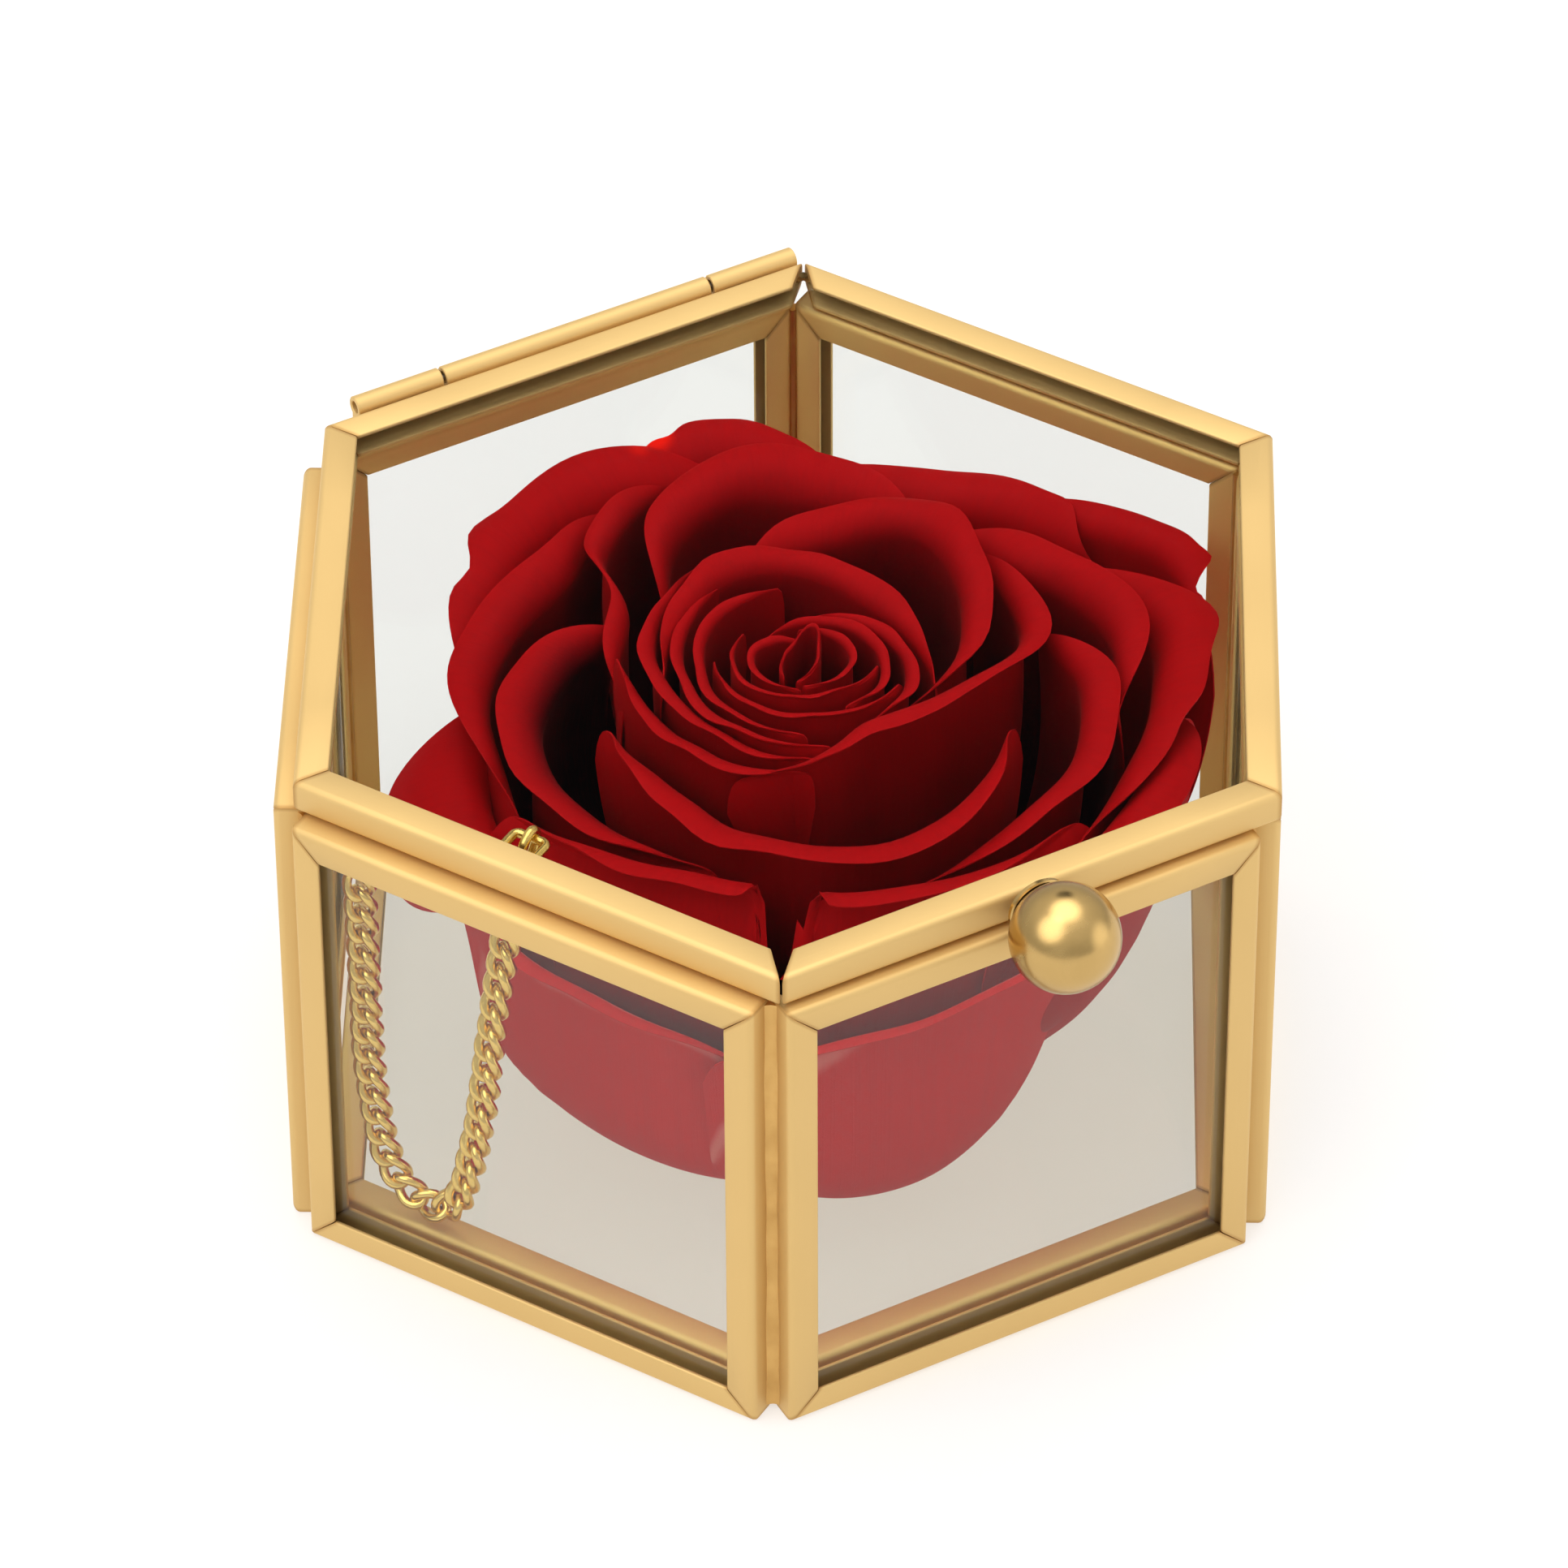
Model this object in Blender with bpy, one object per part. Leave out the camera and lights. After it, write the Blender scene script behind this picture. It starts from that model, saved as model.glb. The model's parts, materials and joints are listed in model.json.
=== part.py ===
"""Preserved rose in a small hexagonal glass box: six framed panes, a framed base, a hinged lid with a ball
knob, a stay chain and a full rose head. Lengths and places are millimetres from the middle of the hexagon,
and add_solid turns them into metres. The hexagon has corners at 0, 60, 120... degrees about +Z, the knob is
on the -Y side and the hinge on the +Y side."""

import math

import bmesh
import bpy
from mathutils import Vector

MM = 0.001
GAP = 0.3

# Box
PANEL_APOTHEM = 40.4
PANEL_HALF_WIDTH = 21.6
PANEL_HEIGHT = 44.7
CAME_LIP = 2.6
CAME_DEPTH = 3.0
CAME_WALL = 0.4
CAME_ROUND = 0.6
CAME_SOFT = CAME_ROUND * 0.29
GLASS_THICKNESS = 1.6
BASE_APOTHEM = 36.9
BASE_THICKNESS = 2.9
SIDES = ("right_back", "hinge", "left_back", "left_front", "knob", "right_front")

# Lid
LID_APOTHEM = 39.5
LID_THICKNESS = 3.0
LID_LIP = 2.8
LID_SHIFT = 1.0
LID_BOTTOM = PANEL_HEIGHT + GAP
LID_TOP = LID_BOTTOM + LID_THICKNESS
LID_NOTCH_SLOPE = 0.3

# Hinge
TUBE_RADIUS = 0.95
TUBE_BORE = 0.55
TUBE_SEGMENTS = 16
PIN_RADIUS = 0.28
HINGE_Y = LID_APOTHEM + GAP + TUBE_RADIUS
HINGE_Z = LID_TOP - 0.5
TUBE_LEFT = -18.4
TUBE_RIGHT = 23.4
BOX_KNUCKLE = 8.0
LEAF_THICKNESS = 0.5
LEAF_BOTTOM = 42.4
PIN_RECESS = 1.3

# Knob
KNOB_RADIUS = 4.5
KNOB_REACH = 5.4
KNOB_FLAT = 1.8
KNOB_TIP = 6
KNOB_X = 0.7
KNOB_Z = 46.9
KNOB_SEGMENTS = 20
KNOB_BANDS = 10
COLLAR_RADIUS = 2.7
COLLAR_BEVEL = 0.05
NECK_RADIUS = 1.3
NECK_END = 1.25

# Stay chain
CHAIN_WIDTH = 3.0
CHAIN_THICKNESS = 1.3
WIRE_RADIUS = 0.4
RING_RADIUS = 1.1
LOOP_LENGTH = 5.0
LOOP_WIDTH = 3.0
LOOP_BACK = 1.0
LOOP_RISE = 1.3
WIRE_SEGMENTS = 12
WIRE_SIDES = 6

# Rose
ROSE_CENTRE = (1.7, 0.2)
BLOOM_RADIUS = 36.0
PETAL_THICKNESS = 0.35
PETAL_COLUMNS = 8
PETAL_ROWS = 5
LIP_START = 0.72
CORNER_DROP = 0.2
CORNER_POWER = 6
LIP_TAPER = 0.8
LIP_TAPER_POWER = 3
LIP_SAG = 0.45
SIDE_REACH = 0.15
CLAW_SHARE = 0.5
CLAW_END = 0.45
RECEPTACLE_SEGMENTS = 16

# The whole object's lowest middle point is the origin: the hexagon's centre stands a little off it.
COS_30 = math.cos(math.radians(30))
OBJECT_LEFT = -(PANEL_APOTHEM - CAME_SOFT) * COS_30 - (PANEL_HALF_WIDTH - CAME_SOFT) / 2
OBJECT_RIGHT = LID_SHIFT + LID_APOTHEM / COS_30
OBJECT_FRONT = -LID_APOTHEM - KNOB_REACH - KNOB_RADIUS * math.cos(math.radians(KNOB_TIP))
OBJECT_BACK = HINGE_Y + TUBE_RADIUS
BOX_CENTRE = (-(OBJECT_LEFT + OBJECT_RIGHT) / 2, -(OBJECT_FRONT + OBJECT_BACK) / 2, 0)


def clear_scene():
    for found in list(bpy.data.objects):
        bpy.data.objects.remove(found, do_unlink=True)


def finish(name, colour, roughness, metallic, transmission=0.0):
    """A Principled material in one colour."""
    made = bpy.data.materials.new(name)
    made.use_nodes = True
    shader = made.node_tree.nodes["Principled BSDF"]
    shader.inputs["Base Color"].default_value = (*colour, 1)
    shader.inputs["Roughness"].default_value = roughness
    shader.inputs["Metallic"].default_value = metallic
    shader.inputs["Transmission Weight"].default_value = transmission
    return made


def add_empty(name, place, parent=None):
    made = bpy.data.objects.new(name, None)
    made.location = Vector(place) * MM
    made.parent = parent
    bpy.context.scene.collection.objects.link(made)
    return made


def add_solid(name, points, faces, material, parent, sharp=32):
    """One closed body from points in hexagon coordinates, hung on a parent without moving it."""
    mesh = bpy.data.meshes.new(name)
    centre = Vector(parent.matrix_world.translation) / MM - Vector(BOX_CENTRE)
    mesh.from_pydata([(Vector(p) - centre) * MM for p in points], [], faces)
    form = bmesh.new()
    form.from_mesh(mesh)
    bmesh.ops.recalc_face_normals(form, faces=form.faces)
    form.to_mesh(mesh)
    form.free()
    mesh.shade_smooth()
    mesh.set_sharp_from_angle(angle=math.radians(sharp))
    mesh.materials.append(material)
    made = bpy.data.objects.new(name, mesh)
    made.parent = parent
    bpy.context.scene.collection.objects.link(made)
    return made


def hexagon(apothem, centre_x=0.0):
    """Six corners, anticlockwise, the first one on +X."""
    radius = apothem / math.cos(math.radians(30))
    turns = [math.radians(60 * i) for i in range(6)]
    return [Vector((centre_x + radius * math.cos(a), radius * math.sin(a))) for a in turns]


def flat_at(height):
    """Places a shape lying flat: its depth runs up from the height."""
    return lambda x, y, depth: Vector((x, y, height + depth))


def upright_at(angle):
    """Places a shape standing on one side of the hexagon: its depth runs inwards from the outer face."""
    out = Vector((math.cos(angle), math.sin(angle), 0))
    along = Vector((-math.sin(angle), math.cos(angle), 0))
    return lambda x, y, depth: out * (PANEL_APOTHEM - depth) + along * x + Vector((0, 0, y))


def came_profile(lip, depth):
    """The U of a bent strip: (inset from the outer edge, depth), with its two outer corners rounded."""
    return [
        (lip, 0),
        (CAME_ROUND, 0),
        (CAME_SOFT, CAME_SOFT),
        (0, CAME_ROUND),
        (0, depth - CAME_ROUND),
        (CAME_SOFT, depth - CAME_SOFT),
        (CAME_ROUND, depth),
        (lip, depth),
        (lip, depth - CAME_WALL),
        (CAME_WALL, depth - CAME_WALL),
        (CAME_WALL, CAME_WALL),
        (lip, CAME_WALL),
    ]


def mitre(before, corner, after):
    """How far a corner moves for an inset of 1, both neighbouring edges keeping parallel."""
    first = (corner - before).normalized()
    second = (after - corner).normalized()
    inward = Vector((-first.y, first.x)) + Vector((-second.y, second.x))
    return inward * (2 / inward.length_squared)


def swept(name, stations, closed, material, parent):
    """Joins equal rings of points one after the other, with end caps where the run isn't closed."""
    around = len(stations[0])
    points = [p for ring in stations for p in ring]
    faces = []
    for i in range(len(stations) - (0 if closed else 1)):
        j = (i + 1) % len(stations)
        for k in range(around):
            m = (k + 1) % around
            faces.append((i * around + k, i * around + m, j * around + m, j * around + k))
    if not closed:
        faces.append(tuple(range(around)))
        faces.append(tuple(range(len(points) - around, len(points))))
    return add_solid(name, points, faces, material, parent)


def framed(name, outline, profile, placed, material, parent):
    """A came bent round an outline, mitred at each corner."""
    stations = []
    for i, corner in enumerate(outline):
        step = mitre(outline[i - 1], corner, outline[(i + 1) % len(outline)])
        stations.append([placed(*(corner + step * inset), depth) for inset, depth in profile])
    return swept(name, stations, True, material, parent)


def plate(name, outline, low, high, placed, material, parent):
    """A flat sheet with a straight edge."""
    stations = [[placed(*corner, depth) for corner in outline] for depth in (low, high)]
    return swept(name, stations, False, material, parent)


def shrunk(outline, inset):
    count = len(outline)
    return [p + mitre(outline[i - 1], p, outline[(i + 1) % count]) * inset for i, p in enumerate(outline)]


def turned(name, profile, placed, segments, material, parent):
    """A body of revolution: (radius, distance along the axis), from one end of the axis to the other."""
    stations = []
    for radius, along in profile:
        turns = [2 * math.pi * k / segments for k in range(segments)]
        stations.append([placed(radius * math.cos(a), radius * math.sin(a), along) for a in turns])
    return swept(name, stations, False, material, parent)


def build_panels(parent, gold, glass):
    """The six sides: a came folded round each pane and soldered to the next along its inner edge."""
    outline = [
        Vector((-PANEL_HALF_WIDTH, 0)),
        Vector((PANEL_HALF_WIDTH, 0)),
        Vector((PANEL_HALF_WIDTH, PANEL_HEIGHT)),
        Vector((-PANEL_HALF_WIDTH, PANEL_HEIGHT)),
    ]
    pane_low = (CAME_DEPTH - GLASS_THICKNESS) / 2
    for turn, side in enumerate(SIDES):
        placed = upright_at(math.radians(30 + 60 * turn))
        framed(f"came_{side}", outline, came_profile(CAME_LIP, CAME_DEPTH), placed, gold, parent)
        pane = shrunk(outline, CAME_WALL + GAP)
        plate(f"glass_{side}", pane, pane_low, pane_low + GLASS_THICKNESS, placed, glass, parent)


def build_base(parent, gold, glass):
    """The floor: a hexagonal pane in its own came, inside the ring of sides."""
    placed = flat_at(0)
    outline = hexagon(BASE_APOTHEM)
    framed("came_base", outline, came_profile(CAME_LIP, BASE_THICKNESS), placed, gold, parent)
    low = (BASE_THICKNESS - GLASS_THICKNESS) / 2
    plate("glass_base", shrunk(outline, CAME_WALL + GAP), low, low + GLASS_THICKNESS, placed, glass, parent)


def rail_stations(corners, profile, placed):
    """Half of the lid's frame: the flanges of its two cut ends spring back and leave a notch."""
    stations = []
    for i, corner in enumerate(corners):
        ring = []
        for inset, depth in profile:
            if 0 < i < len(corners) - 1:
                moved = corner + mitre(corners[i - 1], corner, corners[i + 1]) * inset
            else:
                inner = corners[1] if i == 0 else corners[-2]
                along = (inner - corner).normalized()
                inward = Vector((-along.y, along.x)) * (1 if i == 0 else -1)
                slope = math.tan(math.radians(30)) + LID_NOTCH_SLOPE
                moved = corner + inward * inset + along * (GAP / 2 + slope * inset)
            ring.append(placed(*moved, depth))
        stations.append(ring)
    return stations


def build_lid(parent, gold, glass):
    """The lid: two bent rails round a hexagonal pane, their ends meeting at the front and back corners."""
    corners = hexagon(LID_APOTHEM, LID_SHIFT)
    placed = flat_at(LID_BOTTOM)
    profile = came_profile(LID_LIP, LID_THICKNESS)
    right = [corners[4], corners[5], corners[0], corners[1]]
    left = [corners[1], corners[2], corners[3], corners[4]]
    swept("lid_rail_right", rail_stations(right, profile, placed), False, gold, parent)
    swept("lid_rail_left", rail_stations(left, profile, placed), False, gold, parent)
    low = (LID_THICKNESS - GLASS_THICKNESS) / 2
    plate("lid_glass", shrunk(corners, CAME_WALL + GAP), low, low + GLASS_THICKNESS, placed, glass, parent)


def along_hinge(x):
    return lambda a, b, along: Vector((x + along, HINGE_Y + a, HINGE_Z + b))


def knuckle(name, start, end, with_leaf, material, parent):
    """A length of tube; a box knuckle has a leaf that runs down the outside of the hinge panel."""
    turns = [2 * math.pi * k / TUBE_SEGMENTS for k in range(TUBE_SEGMENTS)]
    outline = [Vector((math.cos(turn), math.sin(turn))) * TUBE_RADIUS for turn in turns]
    if with_leaf:
        near = PANEL_APOTHEM + GAP - HINGE_Y
        far = near + LEAF_THICKNESS
        bottom = LEAF_BOTTOM - HINGE_Z
        lowest = TUBE_SEGMENTS * 3 // 4
        outline[lowest:lowest + 2] = [
            Vector((near, -math.sqrt(TUBE_RADIUS ** 2 - near ** 2))),
            Vector((near, bottom)),
            Vector((far, bottom)),
            Vector((far, -math.sqrt(TUBE_RADIUS ** 2 - far ** 2))),
        ]
    placed = along_hinge(start)
    length = end - start
    stations = []
    for edge in outline:
        bore = edge.normalized() * TUBE_BORE
        stations.append([placed(*edge, 0), placed(*edge, length), placed(*bore, length), placed(*bore, 0)])
    return swept(name, stations, True, material, parent)


def build_hinge(box, lid, gold):
    """A tube cut in three on one pin: its ends belong to the box and its long middle to the lid."""
    first_cut = TUBE_LEFT + BOX_KNUCKLE
    second_cut = TUBE_RIGHT - BOX_KNUCKLE
    knuckle("hinge_knuckle_left", TUBE_LEFT, first_cut, True, gold, box)
    knuckle("hinge_knuckle_lid", first_cut + GAP, second_cut - GAP, False, gold, lid)
    knuckle("hinge_knuckle_right", second_cut, TUBE_RIGHT, True, gold, box)
    length = TUBE_RIGHT - TUBE_LEFT - 2 * PIN_RECESS
    placed = along_hinge(TUBE_LEFT + PIN_RECESS)
    turned("hinge_pin", [(PIN_RADIUS, 0), (PIN_RADIUS, length)], placed, 10, gold, box)


def build_knob(parent, gold):
    """A ball with a small flat, held off the lid's edge by a turned collar."""
    def placed(a, b, along):
        return Vector((KNOB_X + a, -LID_APOTHEM - along, KNOB_Z + b))

    collar = [
        (NECK_RADIUS, GAP),
        (NECK_RADIUS, NECK_END),
        (COLLAR_RADIUS, NECK_END + COLLAR_BEVEL),
        (COLLAR_RADIUS, KNOB_FLAT - GAP),
    ]
    turned("knob_collar", collar, placed, KNOB_SEGMENTS, gold, parent)
    start = math.acos((KNOB_REACH - KNOB_FLAT) / KNOB_RADIUS)
    end = math.radians(180 - KNOB_TIP)
    ball = []
    for i in range(KNOB_BANDS + 1):
        turn = start + (end - start) * i / KNOB_BANDS
        ball.append((KNOB_RADIUS * math.sin(turn), KNOB_REACH - KNOB_RADIUS * math.cos(turn)))
    turned("knob_ball", ball, placed, KNOB_SEGMENTS, gold, parent)


def bar(name, route, material, parent):
    """The flat strip that a run of curb links fills, its wide faces along the left front pane."""
    inward = Vector((math.cos(math.radians(30)), math.sin(math.radians(30)), 0))
    stations = []
    for i, point in enumerate(route):
        heading = (route[min(i + 1, len(route) - 1)] - route[max(i - 1, 0)]).normalized()
        thin = (inward - heading * inward.dot(heading)).normalized()
        across = heading.cross(thin)
        ring = []
        for a, b in BAR_SECTION:
            ring.append(point + across * a * CHAIN_WIDTH / 2 + thin * b * CHAIN_THICKNESS / 2)
        stations.append(ring)
    return swept(name, stations, False, material, parent)


def wire_ring(name, middle, long_way, short_way, half_long, half_short, material, parent):
    """A closed ring of round wire, longer one way than the other."""
    up = long_way.cross(short_way)
    stations = []
    for i in range(WIRE_SEGMENTS):
        turn = 2 * math.pi * i / WIRE_SEGMENTS
        spoke = long_way * math.cos(turn) * half_long + short_way * math.sin(turn) * half_short
        out = spoke.normalized()
        ring = []
        for k in range(WIRE_SIDES):
            bend = 2 * math.pi * k / WIRE_SIDES
            ring.append(middle + spoke + (out * math.cos(bend) + up * math.sin(bend)) * WIRE_RADIUS)
        stations.append(ring)
    return swept(name, stations, True, material, parent)


BAR_SECTION = ((1, 0.4), (0.7, 1), (-0.7, 1), (-1, 0.4), (-1, -0.4), (-0.7, -1), (0.7, -1), (1, -0.4))
CHAIN_ROUTE = [
    Vector(p)
    for p in (
        (-40.0, -2.6, 40.6),
        (-39.9, -2.7, 34.0),
        (-39.9, -2.8, 26.0),
        (-39.8, -2.9, 18.0),
        (-39.3, -3.6, 10.5),
        (-38.6, -4.8, 6.8),
        (-37.5, -6.6, 5.0),
        (-36.4, -8.5, 5.1),
        (-35.5, -10.1, 7.4),
        (-34.7, -11.1, 12.5),
        (-34.0, -11.8, 18.5),
        (-33.2, -12.1, 26.0),
        (-32.0, -12.4, 34.5),
        (-30.6, -12.6, 42.8),
    )
]


def smooth_route(route, pieces):
    """Points along a smooth curve through the route's own."""
    ends = [2 * route[0] - route[1], *route, 2 * route[-1] - route[-2]]
    run = []
    for a, b, c, d in zip(ends, ends[1:], ends[2:], ends[3:]):
        for i in range(pieces):
            t = i / pieces
            run.append((2 * b + (c - a) * t + (2 * a - 5 * b + 4 * c - d) * t * t
                        + (3 * b - a - 3 * c + d) * t ** 3) / 2)
    return [*run, route[-1]]


def build_chain(box, lid, gold):
    """A curb chain that stops the lid: a wire ring inside the box, one under the lid and the run between."""
    along = Vector((math.cos(math.radians(300)), math.sin(math.radians(300)), 0))
    inward = Vector((math.cos(math.radians(30)), math.sin(math.radians(30)), 0))
    box_ring = CHAIN_ROUTE[0] + Vector((0, 0, RING_RADIUS + WIRE_RADIUS + GAP))
    wire_ring("chain_ring_box", box_ring, Vector((0, 0, 1)), along, RING_RADIUS, RING_RADIUS, gold, box)
    lid_ring = CHAIN_ROUTE[-1] - inward * LOOP_BACK + Vector((0, 0, LOOP_RISE))
    wire_ring("chain_ring_lid", lid_ring, inward, along, LOOP_LENGTH / 2, LOOP_WIDTH / 2, gold, lid)
    bar("chain_run", smooth_route(CHAIN_ROUTE, 2), gold, box)


# A petal's line from claw to rim has four control points. For a petal at the middle and for one at the full
# bloom radius: the claw's radius, how far out the second point is as a share of the rim's radius, and the
# first three heights.
MIDDLE_LINE = (0.7, 0.55, 14.0, 18.5, 28.0)
BLOOM_LINE = (7.3, 0.75, 4.4, 2.2, 12.0)

# Petals from the heart outwards. Each has the reach of its turned-out lip, and the azimuths, radii and
# heights of five points along its rim, from one side edge to the other.
PETALS = {
    "heart_fold": (
        0.0,
        (150, 80, 30, 350, 270),
        (1.6, 1.5, 2.6, 1.8, 1.4),
        (40.6, 41.8, 43.0, 41.8, 40.4),
    ),
    "heart_left": (
        0.2,
        (222, 180, 145, 110, 64),
        (3.2, 4.0, 4.4, 3.6, 3.2),
        (40.4, 41.0, 41.4, 41.4, 40.8),
    ),
    "heart_right": (
        0.2,
        (44, 8, 335, 310, 270),
        (4.4, 4.6, 4.8, 4.2, 3.0),
        (41.2, 41.3, 41.2, 40.9, 40.4),
    ),
    "heart_front": (
        0.2,
        (130, 170, 215, 270, 310),
        (6.1, 5.6, 4.7, 4.6, 6.0),
        (40.8, 41.0, 40.8, 40.8, 40.8),
    ),
    "bud_right": (
        0.3,
        (292, 315, 340, 10, 70),
        (6.9, 7.6, 7.4, 6.6, 5.2),
        (40.4, 40.6, 41.0, 41.3, 41.2),
    ),
    "bud_front": (
        0.3,
        (160, 195, 230, 265, 300),
        (7.2, 6.6, 6.2, 6.6, 8.2),
        (40.4, 40.5, 40.2, 40.2, 40.4),
    ),
    "cup_left_inner": (
        0.3,
        (90, 125, 160, 195, 228),
        (9.2, 9.2, 8.6, 8.2, 8.0),
        (41.8, 41.4, 40.6, 40.2, 39.8),
    ),
    "cup_right": (
        0.4,
        (296, 315, 335, 355, 30),
        (9.3, 9.8, 9.6, 8.6, 7.0),
        (40.0, 40.4, 41.0, 41.2, 41.4),
    ),
    "cup_left": (
        0.4,
        (115, 145, 175, 205, 240),
        (11.2, 10.8, 10.0, 9.6, 9.4),
        (41.8, 41.2, 40.6, 40.2, 39.6),
    ),
    "cup_back": (
        0.5,
        (345, 25, 66, 105, 140),
        (12.0, 11.0, 12.4, 12.9, 12.6),
        (40.6, 42.2, 43.0, 42.8, 41.6),
    ),
    "fold_left": (
        0.6,
        (112, 142, 172, 205, 236),
        (14.8, 14.6, 12.4, 11.3, 11.0),
        (41.8, 41.2, 40.4, 39.6, 39.0),
    ),
    "wing_back": (
        0.8,
        (80, 52, 32, 10, 328),
        (15.2, 18.6, 21.8, 20.0, 13.8),
        (41.4, 42.4, 43.0, 42.4, 40.0),
    ),
    "fold_left_outer": (
        0.6,
        (152, 172, 195, 220, 250),
        (16.6, 15.0, 14.0, 14.3, 15.2),
        (39.6, 39.0, 39.0, 38.8, 38.4),
    ),
    "wing_right": (
        1.0,
        (240, 285, 322, 345, 8),
        (12.8, 11.2, 15.6, 21.6, 22.6),
        (39.6, 41.0, 40.6, 40.4, 40.6),
    ),
    "shell_front": (
        2.2,
        (178, 205, 238, 270, 302),
        (18.4, 18.2, 20.2, 21.4, 20.6),
        (38.0, 37.6, 37.0, 37.0, 38.0),
    ),
    "shell_back": (
        0.8,
        (102, 92, 75, 56, 36),
        (20.2, 24.6, 27.4, 25.2, 23.6),
        (38.8, 40.6, 42.0, 42.4, 41.6),
    ),
    "shell_left_tip": (
        0.6,
        (89, 99, 109, 116, 138),
        (28.0, 26.2, 24.2, 19.8, 17.2),
        (40.0, 40.8, 39.8, 38.4, 37.0),
    ),
    "shell_left": (
        3.2,
        (124, 138, 156, 180, 206),
        (21.4, 23.6, 25.0, 23.8, 21.8),
        (37.4, 37.2, 36.0, 34.8, 34.8),
    ),
    "shell_right": (
        1.0,
        (346, 332, 314, 296, 276),
        (24.2, 26.2, 26.2, 24.6, 23.6),
        (38.6, 39.2, 37.2, 35.6, 34.6),
    ),
    "guard_front": (
        1.0,
        (184, 207, 232, 262, 290),
        (25.8, 24.0, 24.0, 25.4, 26.6),
        (34.0, 35.4, 36.0, 36.0, 35.0),
    ),
    "guard_left": (
        0.8,
        (100, 114, 131, 146, 164),
        (29.6, 27.6, 28.6, 29.0, 27.4),
        (38.6, 39.0, 37.6, 36.0, 33.6),
    ),
    "guard_right": (
        1.0,
        (24, 8, 357, 346, 334),
        (24.2, 25.4, 28.4, 30.2, 29.0),
        (40.0, 41.0, 40.4, 39.3, 37.8),
    ),
    "outer_back_left": (
        1.2,
        (74, 88, 104, 120, 136),
        (30.4, 32.0, 34.2, 33.4, 31.6),
        (38.8, 40.6, 39.4, 37.6, 35.4),
    ),
    "outer_back": (
        1.0,
        (92, 80, 68, 57, 46),
        (35.2, 34.2, 32.6, 30.6, 28.0),
        (39.0, 41.2, 42.0, 41.6, 40.6),
    ),
    "outer_right": (
        2.0,
        (5, 350, 338, 326, 308),
        (32.0, 34.8, 33.8, 32.6, 30.4),
        (37.4, 38.0, 37.4, 36.6, 35.2),
    ),
    "outer_back_right": (
        1.0,
        (60, 49, 36, 24, 13),
        (32.6, 30.8, 30.0, 32.4, 33.6),
        (38.4, 41.2, 41.4, 40.8, 38.8),
    ),
    "outer_right_tip": (
        0.8,
        (24, 14, 6, 0, 353),
        (34.6, 35.4, 36.4, 37.4, 37.2),
        (38.0, 39.2, 39.2, 38.4, 36.0),
    ),
    "outer_front_right": (
        0.8,
        (332, 322, 310, 297, 284),
        (34.8, 34.0, 32.8, 31.4, 30.0),
        (33.0, 34.2, 34.0, 33.0, 31.5),
    ),
    "outer_left": (
        4.6,
        (146, 154, 164, 174, 184),
        (35.2, 35.4, 34.6, 33.6, 32.4),
        (29.6, 28.8, 28.0, 27.2, 26.4),
    ),
    "under_left": (
        0.5,
        (192, 201, 211, 222, 233),
        (30.4, 30.0, 29.4, 29.0, 28.8),
        (27.0, 26.6, 26.0, 24.6, 22.0),
    ),
    "under_right": (
        0.5,
        (236, 249, 262, 275, 288),
        (31.2, 31.6, 32.0, 32.4, 33.4),
        (21.0, 23.4, 24.8, 26.2, 27.6),
    ),
}


RECEPTACLE_FOOT = (BASE_THICKNESS + GLASS_THICKNESS) / 2 + GAP
RECEPTACLE = [(6.6, RECEPTACLE_FOOT), (7.2, 3.8), (6.0, 5.6), (3.6, 8.0), (1.6, 10.6), (0.5, 12.0)]


def smooth_run(values, u):
    """A smooth value at u from -1 to 1 through five evenly spread ones, running on straight past the ends."""
    place = (u + 1) * 2
    i = min(3, max(0, math.floor(place)))
    f = place - i
    a, b = values[i], values[i + 1]
    before = values[i - 1] if i > 0 else 2 * a - b
    after = values[i + 2] if i < 3 else 2 * b - a
    if f < 0 or f > 1:
        return a + (b - a) * f
    m = (b - before) / 2
    n = (after - a) / 2
    g = f * f
    h = g * f
    return (2 * h - 3 * g + 1) * a + (h - 2 * g + f) * m + (3 * g - 2 * h) * b + (h - g) * n


def bezier(ends, t):
    a, b, c, d = ends
    s = 1 - t
    return a * s ** 3 + 3 * b * s * s * t + 3 * c * s * t * t + d * t ** 3


def unwound(azimuths):
    """The same azimuths with no jump over 180 degrees from one to the next."""
    run = [azimuths[0]]
    for azimuth in azimuths[1:]:
        run.append(run[-1] + (azimuth - run[-1] + 180) % 360 - 180)
    return run


def petal_point(petal, across, row):
    """A point of a petal's inner face: across runs from edge to edge, row from the claw to the rim."""
    lip, azimuths, radii, heights = petal
    t = row * (1 - CORNER_DROP * abs(across) ** CORNER_POWER)
    opened = min(1.0, t / CLAW_END)
    opened = opened * opened * (3 - 2 * opened)
    u = across * (1 + SIDE_REACH) * (CLAW_SHARE + (1 - CLAW_SHARE) * opened)
    turned_out = lip * (1 - LIP_TAPER * abs(across) ** LIP_TAPER_POWER)
    radius = smooth_run(radii, u) - turned_out
    height = smooth_run(heights, u)
    share = radius / BLOOM_RADIUS
    claw, reach, *low = [a + (b - a) * share for a, b in zip(MIDDLE_LINE, BLOOM_LINE)]
    out = bezier((claw, radius * reach, radius, radius), t)
    up = bezier((*low, height), t)
    curl = max(0.0, (t - LIP_START) / (1 - LIP_START))
    out += turned_out * curl ** 2
    up -= LIP_SAG * turned_out * curl ** 3
    azimuth = math.radians(smooth_run(unwound(azimuths), u))
    x = ROSE_CENTRE[0] + out * math.cos(azimuth)
    y = ROSE_CENTRE[1] + out * math.sin(azimuth)
    return Vector((x, y, up))


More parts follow.
